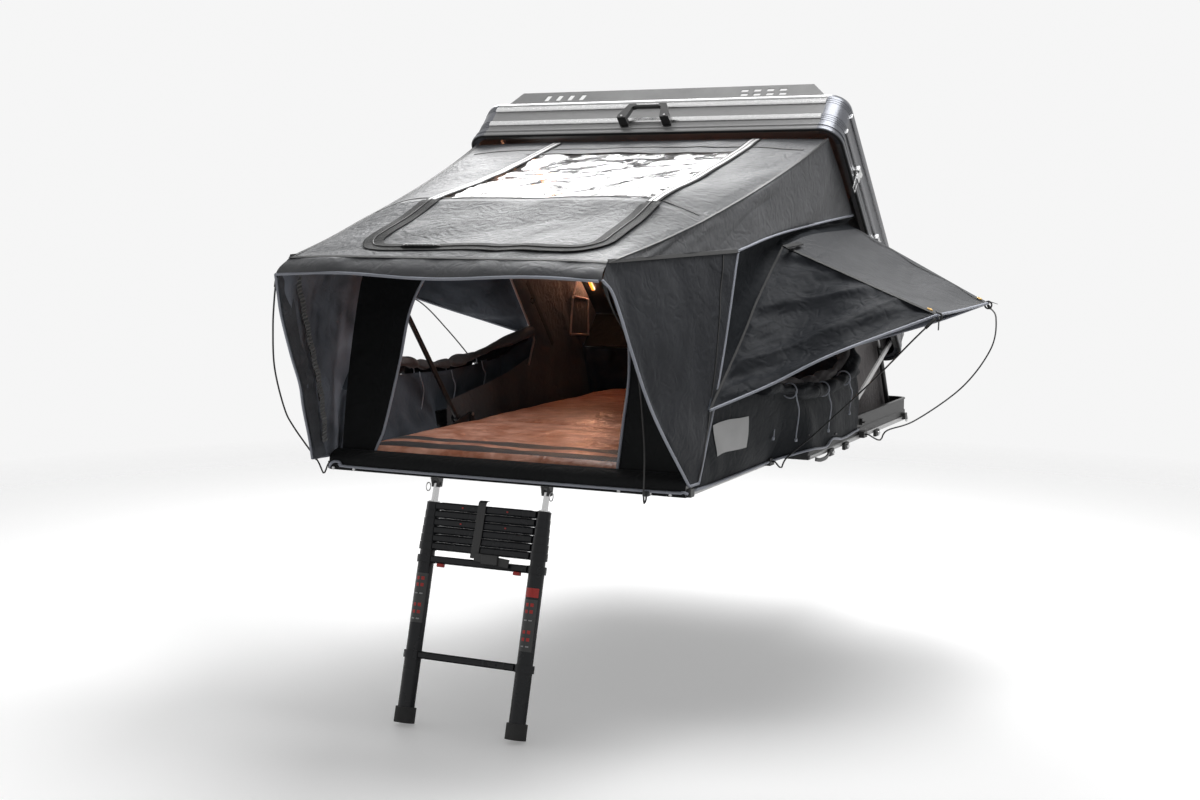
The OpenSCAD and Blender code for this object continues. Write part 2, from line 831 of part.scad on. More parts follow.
// Upper and lower edge of the right-hand fly, front to rear
fly_top = [[ridge_hw + 15, eave_y, eave_z], roof_pt(roof_rows[6], 1) + [2, 0, 0],
  roof_pt(roof_rows[5], 1) + [2, 0, 0], roof_pt(roof_rows[4], 1) + [2, 0, 0],
  roof_pt(roof_rows[3], 1) + [2, 0, 0], roof_pt(roof_rows[2], 1) + [2, 0, 0],
  lid_pt(half_w - 58, -shell_l + 28, -14), lid_pt(half_w - 36, -shell_l + 230, -8),
  lid_pt(half_w - 34, -shell_l + 390, -8)];
fly_low = [corner_f, mix(corner_f + [4, 10, 0], corner_g, 0.3), mix(corner_f, corner_g, 0.66),
  corner_g, mix(corner_g, corner_h, 0.2), mix(corner_g, corner_h, 0.45),
  mix(corner_g, corner_h, 0.68), mix(corner_g, corner_h, 0.86), corner_h];

module fly_sides() {
  color([0.17, 0.17, 0.17])
    both_sides()
      cloth([for (j = [0 : 5]) [for (i = [0 : len(fly_top) - 1])
        mix(fly_low[i], fly_top[i], j / 5) + [i == 3 || i == 4 ? 14 * sin(180 * j / 5) : 0, 0, 0]]],
        [cloth_t, 0, 0]);
}

// Awning from the wall line to its two tips, with the front gusset
awning_wall = [corner_k + [2.2, 0, 0], mix(corner_k, corner_g, 0.5) + [10, 0, 0],
  corner_g + [10, 0, -4], mix(corner_g, corner_h, 0.33) + [10, 0, -4],
  mix(corner_g, corner_h, 0.66) + [10, 0, -4], lid_pt(half_w + 2, -shell_l + 460, -18)];
awning_out = [[awning_x - 3, tip_y[0] - 6, tip_z], [awning_x - 1, tip_y[0] - 3, tip_z + 2],
  [awning_x, tip_y[0], tip_z + 4], [awning_x, mix(tip_y[0], tip_y[1], 0.33), tip_z],
  [awning_x, mix(tip_y[0], tip_y[1], 0.66), tip_z], [awning_x, tip_y[1], tip_z + 4]];

module awnings() {
  color([0.17, 0.17, 0.17])
    both_sides()
      cloth([for (j = [0 : 8]) [for (i = [0 : 5])
        mix(awning_wall[i], awning_out[i], j / 8)
          + [0, 0, -18 * sin(180 * j / 8) * (i == 3 || i == 4 ? 1 : 0)]]], [0.6, 0.6, cloth_t]);
}

module fold_floor() {
  color([0.16, 0.16, 0.17])
    translate([-fold_in, fold_y1 + 30, 16])
      cube([2 * fold_in, fold_out - 32, 14]);
}

module fold_frame() {
  color([0.6, 0.6, 0.6]) {
    both_sides()
      translate([fold_in, -half_l - 100, 0])
        rotate([90, 0, 0])
          linear_extrude(fold_out - 130)
            polygon([[0, -8], [29, -8], [29, 4], [26, 7], [26, 16], [29, 19], [29, 32], [0, 32]]);
    translate([-fold_hw, fold_y1 + 30, 0])
      rotate([90, 0, 90])
        linear_extrude(fold_w)
          polygon([[0, -8], [-26, -8], [-30, -4], [-30, 8], [-26, 11], [-26, 18], [-30, 21],
            [-30, 28], [-26, 32], [0, 32]]);
  }
}

module fold_hinge_leaves() {
  color([0.1, 0.1, 0.1])
    both_sides()
      difference() {
        union() {
          plate_x([[hinge_y, hinge_z - eye_r], [hinge_y, hinge_z + eye_r], [-half_l - 150, 44],
            [-half_l - 150, 32], [-half_l - 98, 32], [-half_l - 98, 30], [-half_l - 12, 30]],
            leaf_x, leaf_x + 6);
          translate([0, hinge_y, hinge_z])
            rod_x(eye_r, leaf_x, leaf_x + 6);
          translate([leaf_x + 5, -half_l - 150, 32])
            cube([14, 46, 4]);
        }
        translate([0, hinge_y, hinge_z])
          rod_x(hinge_r + fit, leaf_x - 1, leaf_x + 8);
      }
}

module fold_mattress() {
  color([0.42, 0.2, 0.11])
    pad(fold_y1 + 66, -half_l + 3, 30, floor_z1 + mattress_t);
}

module floor_brackets() {
  color([0.06, 0.06, 0.06]) {
    for (s = [-1, 1])
      translate([ladder_x + s * rail_pitch / 2, hook_y, 0]) {
        translate([-16, -14, -14])
          cube([32, 36, 6]);
        for (x = [-16, 6])
          plate_x([[-12, -14], [16, -14], [8, hook_z - 11], [-8, hook_z - 11]], x, x + 10);
        translate([0, 0, hook_z])
          rod_x(5, -19, 19);
      }
    translate([socket_x - 9, fold_y1 - 24, -8])
      cube([18, 24, 16]);
    both_sides() {
      translate([fold_hw, fold_y1 + 6, -6])
        cube([16, 30, 26]);
      translate([fold_hw, -half_l - 150, -6])
        cube([20, 44, 26]);
    }
  }
}

// Inner front wall, flat, with the door cut out
module front_wall() {
  wall_h = 846;
  color([0.05, 0.05, 0.05])
    translate([0, fold_y1 + 42, 32.3])
      rotate([90 - 7.7, 0, 0])
        linear_extrude(cloth_t)
          difference() {
            polygon([[-fold_hw + 17, 0], [fold_hw - 17, 0], [fold_in, 420], [fold_in - 40, wall_h - 90],
              [fold_in - 120, wall_h], [120 - fold_in, wall_h], [40 - fold_in, wall_h - 90], [-fold_in, 420]]);
            polygon([[-500, 36], [400, 36], [420, 420], [414, 560], [380, 630], [310, 666],
              [-370, 666], [-440, 640], [-474, 580], [-490, 420]]);
          }
}

front_rod_path = [[fold_hw + 16.3, fold_y1 + 20, 8], [fold_hw + 21, fold_y1 + 20, 8],
  [fold_hw + 25, fold_y1 + 20, 8],
  [fold_hw + 28, fold_y1 - 6, -4], [fold_hw + 30, fold_y1 - 30, 30],
  [fold_hw + 36, fold_y1 - 120, 130], [fold_hw + 44, fold_y1 - 290, 330], [fold_hw + 10, fold_y1 - 390, 520],
  [ridge_hw + 40, eave_y - 12, eave_z - 60], [ridge_hw + 22, eave_y - 8, eave_z + 14]];
side_rod_path = [[fold_hw + 20.3, -half_l - 128, 7], [fold_hw + 25, -half_l - 128, 7],
  [fold_hw + 30, -half_l - 128, 7],
  [fold_hw + 42, -half_l - 96, -18], [fold_hw + 62, -half_l - 90, 20], [fold_hw + 180, -half_l - 120, 120],
  [fold_hw + 400, -half_l - 190, 320], [awning_x - 66, tip_y[0] - 30, 470],
  [awning_x + 4, tip_y[0] - 10, tip_z - 8]];

// The right front rod stands in a socket on the front of the floor
right_rod_path = [[socket_x, fold_y1 - 15, -8.3], [socket_x, fold_y1 - 15, -13],
  [socket_x, fold_y1 - 15, -18], [socket_x, fold_y1 - 27, -28], [socket_x, fold_y1 - 34, -6],
  [socket_x + 8, fold_y1 - 50, 175], [socket_x + 32, fold_y1 - 170, 443],
  [ridge_hw + 12, eave_y + 60, eave_z - 80], [ridge_hw + 10, eave_y + 8, eave_z - 8]];

module floor_rods() {
  color([0.05, 0.05, 0.05]) {
    mirror([1, 0, 0])
      wire(smooth(front_rod_path, 5), 3);
    wire(smooth(right_rod_path, 5), 3);
    both_sides()
      wire(smooth(side_rod_path, 5), 3);
  }
}

module front_bow() {
  leg = bow_reach - bow_corner_r;
  color([0.1, 0.1, 0.1])
    bow_pose() {
      both_sides() {
        difference() {
          union() {
            rod_x(14, bow_x - 8, bow_x + 8);
            translate([bow_x, -6, 0])
              rotate([90, 0, 0])
                cylinder(r = bow_r, h = leg - 6);
          }
          rod_x(bow_pin_r + fit, bow_x - 12, bow_x + 12);
        }
        translate([bow_x - bow_corner_r, -leg, 0])
          rotate([0, 0, -90])
            rotate_extrude(angle = 90)
              translate([bow_corner_r, 0])
                circle(r = bow_r);
      }
      translate([0, -bow_reach, 0])
        rod_x(bow_r, -bow_x + bow_corner_r, bow_x - bow_corner_r);
    }
}

module bow_knuckles() {
  color([0.03, 0.03, 0.03])
    bow_pose()
      both_sides()
        translate([bow_x, -knuckle_at, 0])
          rotate([90, 0, 0])
            difference() {
              union() {
                cylinder(r = bow_r + 6, h = 60);
                translate([-bow_r - 10, -8, 12])
                  cube([12, 16, 36]);
              }
              translate([0, 0, -1])
                cylinder(r = bow_r + press, h = 62);
            }
}

// One telescoping stage: two tubes, their collars and the rung between them
module ladder_section(k) {
  r = od(k) / 2;
  z = section_z(k);
  zr = z - collar_h;
  color([0.05, 0.05, 0.05])
    ladder_pose()
      difference() {
        union() {
          for (s = [-1, 1])
            translate([s * rail_pitch / 2, 0, 0]) {
              translate([0, 0, zr])
                cylinder(r = r + 5, h = collar_h - (k == 1 ? 0 : 0.5));
              translate([0, 0, section_end(k)])
                cylinder(r = r, h = z - section_end(k) - 2);
            }
          translate([-rail_pitch / 2 + r + 2, 0, zr + 1])
            rotate([90, 0, 90])
              linear_extrude(rail_pitch - 2 * r - 4)
                polygon([[-21, 4], [-17, 0], [17, 0], [21, 4], [21, collar_h - 6],
                  [17, collar_h - 2], [-17, collar_h - 2], [-21, collar_h - 6]]);
        }
        for (s = [-1, 1])
          translate([s * rail_pitch / 2, 0, section_end(k) - 1])
            cylinder(r = r - wall_d / 2, h = z - section_end(k) + (k == 1 ? -5 : 2));
      }
}

module ladder_section_1() {
  ladder_section(1);
}

module ladder_section_2() {
  ladder_section(2);
}

module ladder_section_3() {
  ladder_section(3);
}

module ladder_section_4() {
  ladder_section(4);
}

module ladder_section_5() {
  ladder_section(5);
}

module ladder_section_6() {
  ladder_section(6);
}

module ladder_section_7() {
  ladder_section(7);
}

module ladder_section_8() {
  ladder_section(8);
}

module ladder_hooks() {
  color([0.7, 0.7, 0.68])
    ladder_pose()
      for (s = [-1, 1])
        translate([s * rail_pitch / 2, 0, 0]) {
          difference() {
            plate_x([[-16, -top_gap], [16, -top_gap], [14, 6], [5, 10], [-40, 10], [-12, -10]], -4, 4);
            rod_x(5 + fit, -8, 8);
            plate_x([[-60, 0], [5 + fit, 0], [5 + fit, 20], [-60, 20]], -8, 8);
            plate_x([[-60, 20], [-60, -30], [-13, -20], [-9, 0], [0, 0], [0, 20]], -8, 8);
          }
          translate([-14, -14, -top_gap])
            cube([28, 28, 5]);
        }
}

module ladder_feet() {
  color([0.04, 0.04, 0.04])
    ladder_pose()
      for (s = [-1, 1])
        translate([s * rail_pitch / 2, 0, foot_z])
          difference() {
            cylinder(r = tube_d / 2 + 7, h = 52);
            translate([0, 0, 10])
              cylinder(r = tube_d / 2 + press, h = 50);
          }
}

base_floor();
base_side_rails();
base_rear_rail();
base_front_sill();
base_corner_caps();
mount_rails();
arm_brackets();
floor_hinge_posts();
hinge_pins();
bow_brackets();
base_side_fittings();
base_mattress();
base_rods();
side_walls();
rear_wall();
window_rolls();
organizer_pocket();
lift_arms();
strut_cylinders();
strut_rods();
lid_frame();
lid_ribs();
lid_corner_caps();
lid_panel();
lid_seal();
grab_handle();
fairing_plate();
lid_bolts();
lid_top_rails();
latch_bases();
lid_pivots();
light_strip();
canopy_roof();
skylight_film();
fly_sides();
awnings();
latch_lever_front_right();
latch_lever_rear_right();
latch_lever_front_left();
latch_lever_rear_left();
fold_floor();
fold_frame();
fold_hinge_leaves();
fold_mattress();
floor_brackets();
front_wall();
floor_rods();
front_bow();
bow_knuckles();
ladder_section_1();
ladder_section_2();
ladder_section_3();
ladder_section_4();
ladder_section_5();
ladder_section_6();
ladder_section_7();
ladder_section_8();
ladder_hooks();
ladder_feet();
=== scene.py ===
"""Looks of an opened roof top tent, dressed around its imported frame.

Every length is in metres, in the part's own frame: X to the right seen from the
ladder, Y towards the rear of the base, Z up.
"""

import logging
import math
from dataclasses import dataclass
from enum import Enum
from typing import Callable, Iterable, Optional, Sequence

import bpy
import numpy as np
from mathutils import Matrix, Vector


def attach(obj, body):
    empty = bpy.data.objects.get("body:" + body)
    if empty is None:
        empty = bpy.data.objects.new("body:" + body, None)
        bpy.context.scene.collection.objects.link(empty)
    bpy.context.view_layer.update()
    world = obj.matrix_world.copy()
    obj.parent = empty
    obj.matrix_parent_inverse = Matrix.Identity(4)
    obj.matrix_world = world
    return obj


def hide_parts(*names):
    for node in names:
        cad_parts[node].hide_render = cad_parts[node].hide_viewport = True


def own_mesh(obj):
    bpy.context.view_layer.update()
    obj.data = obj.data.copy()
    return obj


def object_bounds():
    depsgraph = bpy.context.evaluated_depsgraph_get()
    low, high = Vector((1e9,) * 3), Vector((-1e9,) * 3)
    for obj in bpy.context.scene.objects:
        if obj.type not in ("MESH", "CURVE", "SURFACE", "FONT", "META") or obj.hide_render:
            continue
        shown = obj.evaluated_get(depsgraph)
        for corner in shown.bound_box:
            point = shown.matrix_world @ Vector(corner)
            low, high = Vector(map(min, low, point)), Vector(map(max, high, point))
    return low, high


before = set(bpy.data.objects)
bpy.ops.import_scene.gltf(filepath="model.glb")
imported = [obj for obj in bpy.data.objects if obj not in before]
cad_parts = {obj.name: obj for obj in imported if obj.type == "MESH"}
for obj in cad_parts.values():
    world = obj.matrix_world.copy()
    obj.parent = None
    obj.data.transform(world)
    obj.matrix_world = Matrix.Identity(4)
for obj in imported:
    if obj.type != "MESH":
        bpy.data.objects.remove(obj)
CAD_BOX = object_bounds()
LOG = logging.getLogger("roof_top_tent")

Point = tuple[float, float, float]
Colour = tuple[float, float, float, float]
UV_NAME = "cloth"
# A point inside the tent, which tells the outer face of a panel.
INSIDE = (0.0, -0.7, 0.35)
SIDES = {"right": 1.0, "left": -1.0}
# Factors that mirror points of the right side.
FLIPS = {name: np.array([side, 1.0, 1.0]) for name, side in SIDES.items()}


def grey(level: float, warm: float = 0.0) -> Colour:
    """Makes an opaque grey.

    Args:
        level: Linear brightness.
        warm: How far red rises above blue.

    Returns:
        The colour with full alpha.
    """
    return (level + warm, level, level - warm, 1.0)


def shade(colour: Colour, level: float) -> Colour:
    """Returns an opaque colour with its brightness scaled."""
    return tuple(c * level for c in colour[:3]) + (1.0,)


# Shader graphs


class Graph:
    """Short way to add and join the nodes of one shader tree."""

    def __init__(self, tree: bpy.types.NodeTree) -> None:
        """Starts from an empty tree.

        Args:
            tree: Tree of a material or a node group.
        """
        self.tree = tree
        tree.nodes.clear()

    def add(self, kind: str, inputs: Optional[dict] = None, **props: object) -> bpy.types.Node:
        """Adds a node.

        Args:
            kind: Blender's name of the node type.
            inputs: Default values or source sockets by input name or index.
            **props: Settings of the node itself.

        Returns:
            The new node.
        """
        node = self.tree.nodes.new(kind)
        for key, value in props.items():
            setattr(node, key, value)
        for key, value in (inputs or {}).items():
            if isinstance(value, bpy.types.NodeSocket):
                self.join(value, node, key)
            else:
                node.inputs[key].default_value = value
        return node

    def join(self, source: bpy.types.NodeSocket, node: bpy.types.Node, key: str | int) -> None:
        """Links a socket to an input of a node."""
        self.tree.links.new(source, node.inputs[key])

    def fix(self, node: bpy.types.Node, values: dict[str, float]) -> None:
        """Sets constant inputs of a node."""
        for key, value in values.items():
            node.inputs[key].default_value = value

    def spot(self) -> bpy.types.NodeSocket:
        """Returns the place on the surface in the part's own frame."""
        return self.add("ShaderNodeTexCoord").outputs["Object"]

    def flat(self) -> bpy.types.NodeSocket:
        """Returns the flat coordinates of a cloth in metres."""
        return self.add("ShaderNodeUVMap", uv_map=UV_NAME).outputs[0]

    def math(self, how: str, *values: object) -> bpy.types.NodeSocket:
        """Adds a Math node.

        Args:
            how: Operation of the node.
            *values: Numbers or sockets, in order.

        Returns:
            The node's output socket.
        """
        return self.add("ShaderNodeMath", dict(enumerate(values)), operation=how).outputs[0]

    def blend(self, mask: object, low: object, high: object) -> bpy.types.NodeSocket:
        """Mixes two colours by a mask.

        Args:
            mask: Share of the second colour.
            low: Colour at zero.
            high: Colour at one.

        Returns:
            The mixed colour's socket.
        """
        node = self.add("ShaderNodeMix", {0: mask, 6: low, 7: high}, data_type="RGBA")
        return node.outputs[2]

    def ramp(self, value: object, low: float, high: float, out_low: float = 0.0,
             out_high: float = 1.0) -> bpy.types.NodeSocket:
        """Maps a value range to another one.

        Args:
            value: Socket to map.
            low: Start of the range.
            high: End of the range.
            out_low: Result at the start.
            out_high: Result at the end.

        Returns:
            The mapped value's socket.
        """
        spec = {0: value, 1: low, 2: high, 3: out_low, 4: out_high}
        return self.add("ShaderNodeMapRange", spec).outputs[0]


class Effect(Enum):
    """Surface effects that several finishes share, each one node group."""

    WEAVE = "thread weave"
    SOIL = "soft stains"
    CRUMPLE = "crumpled sheet"
    STREAK = "brushed streaks"
    GRAIN = "fine grain"

    def group(self) -> bpy.types.NodeTree:
        """Returns the effect's node group, made on first use."""
        found = bpy.data.node_groups.get(self.value)
        return found or EFFECT_BUILDERS[self](self.value)


def open_group(name: str, inputs: dict[str, float]) -> tuple[Graph, bpy.types.Node, bpy.types.Node]:
    """Starts a node group with a vector, some values and one mask output.

    Args:
        name: Name of the group.
        inputs: Value inputs with their defaults.

    Returns:
        The graph, its input node and its output node.
    """
    tree = bpy.data.node_groups.new(name, "ShaderNodeTree")
    tree.interface.new_socket("Vector", in_out="INPUT", socket_type="NodeSocketVector")
    for key, value in inputs.items():
        socket = tree.interface.new_socket(key, in_out="INPUT", socket_type="NodeSocketFloat")
        socket.default_value = value
    tree.interface.new_socket("Mask", in_out="OUTPUT", socket_type="NodeSocketFloat")
    graph = Graph(tree)
    return graph, graph.add("NodeGroupInput"), graph.add("NodeGroupOutput")


def build_weave(name: str) -> bpy.types.NodeTree:
    """Builds the crossing threads of a plain weave.

    Args:
        name: Name of the group.

    Returns:
        The group.
    """
    graph, start, end = open_group(name, {"Thread": 0.002})
    parts = graph.add("ShaderNodeSeparateXYZ", {0: start.outputs["Vector"]})
    turn = graph.math("DIVIDE", 2.0 * math.pi, start.outputs["Thread"])
    waves = [graph.math("SINE", graph.math("MULTIPLY", parts.outputs[i], turn)) for i in (0, 1)]
    product = graph.math("MULTIPLY", waves[0], waves[1])
    level = graph.math("MULTIPLY_ADD", product, 0.5, 0.5)
    graph.join(level, end, "Mask")
    return graph.tree


def noise_builder(detail: float, stretch: Point, low: float, high: float) -> Callable:
    """Makes the builder of a noise effect.

    Args:
        detail: Octaves of the noise.
        stretch: Scale of each axis before the noise.
        low: Noise value that gives an empty mask.
        high: Noise value that gives a full mask.

    Returns:
        A function that builds the group under a name.
    """

    def build(name: str) -> bpy.types.NodeTree:
        """Builds the noise group under the given name."""
        graph, start, end = open_group(name, {"Scale": 8.0})
        placed = graph.add("ShaderNodeVectorMath", {0: start.outputs["Vector"], 1: stretch},
                           operation="MULTIPLY")
        noise = graph.add("ShaderNodeTexNoise", {
            "Vector": placed.outputs[0], "Scale": start.outputs["Scale"], "Detail": detail,
            "Roughness": 0.6})
        graph.join(graph.ramp(noise.outputs[0], low, high), end, "Mask")
        return graph.tree

    return build


def build_crumple(name: str) -> bpy.types.NodeTree:
    """Builds the sharp creases of a crumpled sheet.

    Args:
        name: Name of the group.

    Returns:
        The group.
    """
    graph, start, end = open_group(name, {"Scale": 8.0})
    bent = graph.add("ShaderNodeTexNoise", {
        "Vector": start.outputs["Vector"], "Scale": start.outputs["Scale"], "Detail": 2.0})
    moved = graph.add("ShaderNodeVectorMath", {0: start.outputs["Vector"], 1: bent.outputs["Color"]},
                      operation="ADD")
    cells = graph.add("ShaderNodeTexVoronoi", {
        "Vector": moved.outputs[0], "Scale": start.outputs["Scale"]}, feature="SMOOTH_F1")
    graph.join(cells.outputs["Distance"], end, "Mask")
    return graph.tree


EFFECT_BUILDERS = {
    Effect.WEAVE: build_weave,
    Effect.SOIL: noise_builder(4.0, (1.0, 1.0, 1.0), 0.35, 0.7),
    Effect.CRUMPLE: build_crumple,
    Effect.STREAK: noise_builder(3.0, (1.0, 14.0, 14.0), 0.3, 0.7),
    Effect.GRAIN: noise_builder(2.0, (1.0, 1.0, 1.0), 0.2, 0.8),
}


# Finishes


@dataclass(frozen=True)
class Finish:
    """What every finish has: a name, a colour and how rough it is."""

    name: str
    base: Colour
    roughness: float = 0.6
    specular: float = 0.5

    def material(self) -> bpy.types.Material:
        """Returns the finish's material, made on first use."""
        found = bpy.data.materials.get(self.name)
        if found:
            return found
        made = bpy.data.materials.new(self.name)
        made.use_nodes = True
        made.diffuse_color = self.base
        graph = Graph(made.node_tree)
        shader = graph.add("ShaderNodeBsdfPrincipled", {
            "Base Color": self.base, "Roughness": self.roughness,
            "Specular IOR Level": self.specular})
        out = graph.add("ShaderNodeOutputMaterial")
        graph.join(shader.outputs[0], out, "Surface")
        self.dress(graph, shader)
        return made

    def dress(self, graph: Graph, shader: bpy.types.Node) -> None:
        """Adds the finish's own detail to its shader.

        Args:
            graph: Graph of the material.
            shader: Its Principled shader.
        """
        self.tint(graph, shader, Effect.SOIL, 5.0, 0.85)

    def effect(self, graph: Graph, which: Effect, source: Optional[object] = None,
               **values: float) -> bpy.types.NodeSocket:
        """Places a shared effect in the material.

        Args:
            graph: Graph of the material.
            which: The effect.
            source: Coordinates, or none for the part's own frame.
            **values: The group's inputs.

        Returns:
            The effect's mask socket.
        """
        if source is None:
            source = graph.spot()
        node = graph.add("ShaderNodeGroup", {"Vector": source, **values}, node_tree=which.group())
        return node.outputs["Mask"]

    def tint(self, graph: Graph, shader: bpy.types.Node, which: Effect, scale: float,
             level: float) -> None:
        """Varies colour and roughness softly by an effect.

        Args:
            graph: Graph of the material.
            shader: Its Principled shader.
            which: The effect that makes the mask.
            scale: Scale of the effect.
            level: Brightness of the darker tone.
        """
        mask = self.effect(graph, which, Scale=scale)
        tone = graph.blend(mask, shade(self.base, level), self.base)
        graph.join(tone, shader, "Base Color")
        rough = graph.ramp(mask, 0.0, 1.0, self.roughness + 0.06, self.roughness - 0.05)
        graph.join(rough, shader, "Roughness")

    def overlay(self, graph: Graph, shader: bpy.types.Node, mask: object, colour: object) -> None:
        """Lays a colour over the shader's own one.

        Args:
            graph: Graph of the material.
            shader: Its Principled shader.
            mask: Share of the new colour.
            colour: The new colour.
        """
        tone = shader.inputs["Base Color"].links[0].from_socket
        graph.join(graph.blend(mask, tone, colour), shader, "Base Color")

    def emboss(self, graph: Graph, shader: bpy.types.Node, height: object, distance: float,
               strength: float = 0.5) -> None:
        """Adds a bump to the shader's normal, over any earlier one.

        Args:
            graph: Graph of the material.
            shader: Its Principled shader.
            height: Socket of the height.
            distance: Depth of the relief.
            strength: Share of the relief that shows.
        """
        bump = graph.add("ShaderNodeBump", {
            "Height": height, "Distance": distance, "Strength": strength})
        for earlier in shader.inputs["Normal"].links:
            graph.join(earlier.from_socket, bump, "Normal")
        graph.join(bump.outputs[0], shader, "Normal")


@dataclass(frozen=True)
class Canvas(Finish):
    """Woven cloth with a coated face."""

    specular: float = 0.3
    thread: float = 0.0022
    crumple: float = 0.006
    sheen: float = 0.04
    lining: float = 1.0
    # Levels of the painted fold shade and highlight on the inner face, dark to light.
    lining_fold_shade: tuple[float, float] = (0.35, 1.5)

    def dress(self, graph: Graph, shader: bpy.types.Node) -> None:
        """Adds weave, small creases, a faint bloom and a lighter inner face with painted fold shade
        and highlight.
        """
        graph.fix(shader, {"Sheen Weight": self.sheen, "Sheen Roughness": 0.5})
        self.tint(graph, shader, Effect.SOIL, 3.0, 0.8)
        if self.lining != 1.0:
            # Painted fold shade and highlight: a crease mask darkens and lightens the inner face's
            # colour.
            folds = self.effect(graph, Effect.CRUMPLE, Scale=4.0)
            face = shade(self.base, self.lining)
            inner = graph.blend(folds, *(shade(face, level) for level in self.lining_fold_shade))
            behind = graph.add("ShaderNodeNewGeometry").outputs["Backfacing"]
            self.overlay(graph, shader, behind, inner)
        threads = self.effect(graph, Effect.WEAVE, graph.flat(), Thread=self.thread)
        creases = self.effect(graph, Effect.CRUMPLE, Scale=9.0)
        self.emboss(graph, shader, creases, self.crumple, 0.55)
        self.emboss(graph, shader, threads, 0.0004)


@dataclass(frozen=True)
class Webbing(Finish):
    """Ribbed woven band."""

    thread: float = 0.004

    def dress(self, graph: Graph, shader: bpy.types.Node) -> None:
        """Adds coarse ribs across the band."""
        threads = self.effect(graph, Effect.WEAVE, graph.flat(), Thread=self.thread)
        tone = graph.blend(threads, shade(self.base, 0.6), self.base)
        graph.join(tone, shader, "Base Color")
        self.emboss(graph, shader, threads, 0.0006, 0.7)


@dataclass(frozen=True)
class Metal(Finish):
    """Bare or anodised metal with drawn streaks."""

    metallic: float = 1.0
    scale: float = 30.0

    def dress(self, graph: Graph, shader: bpy.types.Node) -> None:
        """Adds streaks along X to colour and gloss."""
        graph.fix(shader, {"Metallic": self.metallic})
        self.tint(graph, shader, Effect.STREAK, self.scale, 0.88)
        grain = self.effect(graph, Effect.STREAK, Scale=self.scale * 6.0)
        self.emboss(graph, shader, grain, 0.0002, 0.25)


@dataclass(frozen=True)
class PowderCoat(Finish):
    """Powder coated metal with a faint orange peel."""

    peel: float = 420.0

    def dress(self, graph: Graph, shader: bpy.types.Node) -> None:
        """Adds the fine peel and a soft change of tone."""
        graph.fix(shader, {"Coat Weight": 0.15, "Coat Roughness": 0.35})
        self.tint(graph, shader, Effect.SOIL, 7.0, 0.8)
        grain = self.effect(graph, Effect.GRAIN, Scale=self.peel)
        self.emboss(graph, shader, grain, 0.0004, 0.35)


@dataclass(frozen=True)
class Moulded(Finish):
    """Moulded plastic or rubber with a matt grain."""

    grain: float = 260.0

    def dress(self, graph: Graph, shader: bpy.types.Node) -> None:
        """Adds the moulded grain."""
        self.tint(graph, shader, Effect.SOIL, 9.0, 0.75)
        grain = self.effect(graph, Effect.GRAIN, Scale=self.grain)
        self.emboss(graph, shader, grain, 0.0006, 0.4)


@dataclass(frozen=True)
class ClearFilm(Finish):
    """Clear flexible film that mirrors at a low angle."""

    specular: float = 1.0
    clear: float = 0.12
    mirror: float = 0.7

    def dress(self, graph: Graph, shader: bpy.types.Node) -> None:
        """Adds ripples and lets the film clear where it is seen square on."""
        graph.fix(shader, {"Coat Weight": 0.4, "Coat Roughness": 0.04})
        ripples = self.effect(graph, Effect.CRUMPLE, Scale=7.0)
        self.emboss(graph, shader, ripples, 0.006, 0.8)
        facing = graph.add("ShaderNodeLayerWeight", {"Blend": 0.35})
        seen = graph.ramp(facing.outputs["Facing"], 0.05, 0.75, self.clear, self.mirror)
        graph.join(seen, shader, "Alpha")


@dataclass(frozen=True)
class Quilt(Finish):
    """Brushed mattress cover under a loose clear wrap."""

    deep: Colour = (0.42, 0.14, 0.07, 1.0)

    def dress(self, graph: Graph, shader: bpy.types.Node) -> None:
        """Adds mottling, a pebbled face and the gloss of the wrap."""
        graph.fix(shader, {"Coat Weight": 0.4, "Coat Roughness": 0.3})
        mottle = self.effect(graph, Effect.SOIL, Scale=11.0)
        graph.join(graph.blend(mottle, self.deep, self.base), shader, "Base Color")
        pebbles = self.effect(graph, Effect.GRAIN, Scale=130.0)
        creases = self.effect(graph, Effect.CRUMPLE, Scale=7.0)
        self.emboss(graph, shader, creases, 0.012, 0.7)
        self.emboss(graph, shader, pebbles, 0.0015)


@dataclass(frozen=True)
class SpacerMesh(Finish):
    """Dark spacer mesh with a diagonal knit."""

    cell: float = 0.016

    def dress(self, graph: Graph, shader: bpy.types.Node) -> None:
        """Adds the diagonal knit."""
        turned = graph.add("ShaderNodeVectorRotate", {"Vector": graph.flat(), "Angle": math.pi / 4},
                           rotation_type="Z_AXIS")
        knit = self.effect(graph, Effect.WEAVE, turned.outputs[0], Thread=self.cell)
        tone = graph.blend(knit, self.base, shade(self.base, 3.2))
        graph.join(tone, shader, "Base Color")
        self.emboss(graph, shader, knit, 0.002, 0.8)


@dataclass(frozen=True)
class Glow(Finish):
    """Lit diffuser of a light strip, shown dimmer than the light it gives."""

    strength: float = 9.0
    shown: float = 2.2

    def dress(self, graph: Graph, shader: bpy.types.Node) -> None:
        """Lights the strip, with the row of light points showing through."""
        spots = self.effect(graph, Effect.SOIL, Scale=60.0)
        pale = tuple(0.6 + 0.4 * c for c in self.base[:3]) + (1.0,)
        camera = graph.add("ShaderNodeLightPath").outputs["Is Camera Ray"]
        seen = shade(self.base, self.shown / self.strength)
        glow = graph.blend(camera, graph.blend(spots, self.base, pale), seen)
        graph.join(glow, shader, "Emission Color")
        graph.fix(shader, {"Emission Strength": self.strength})


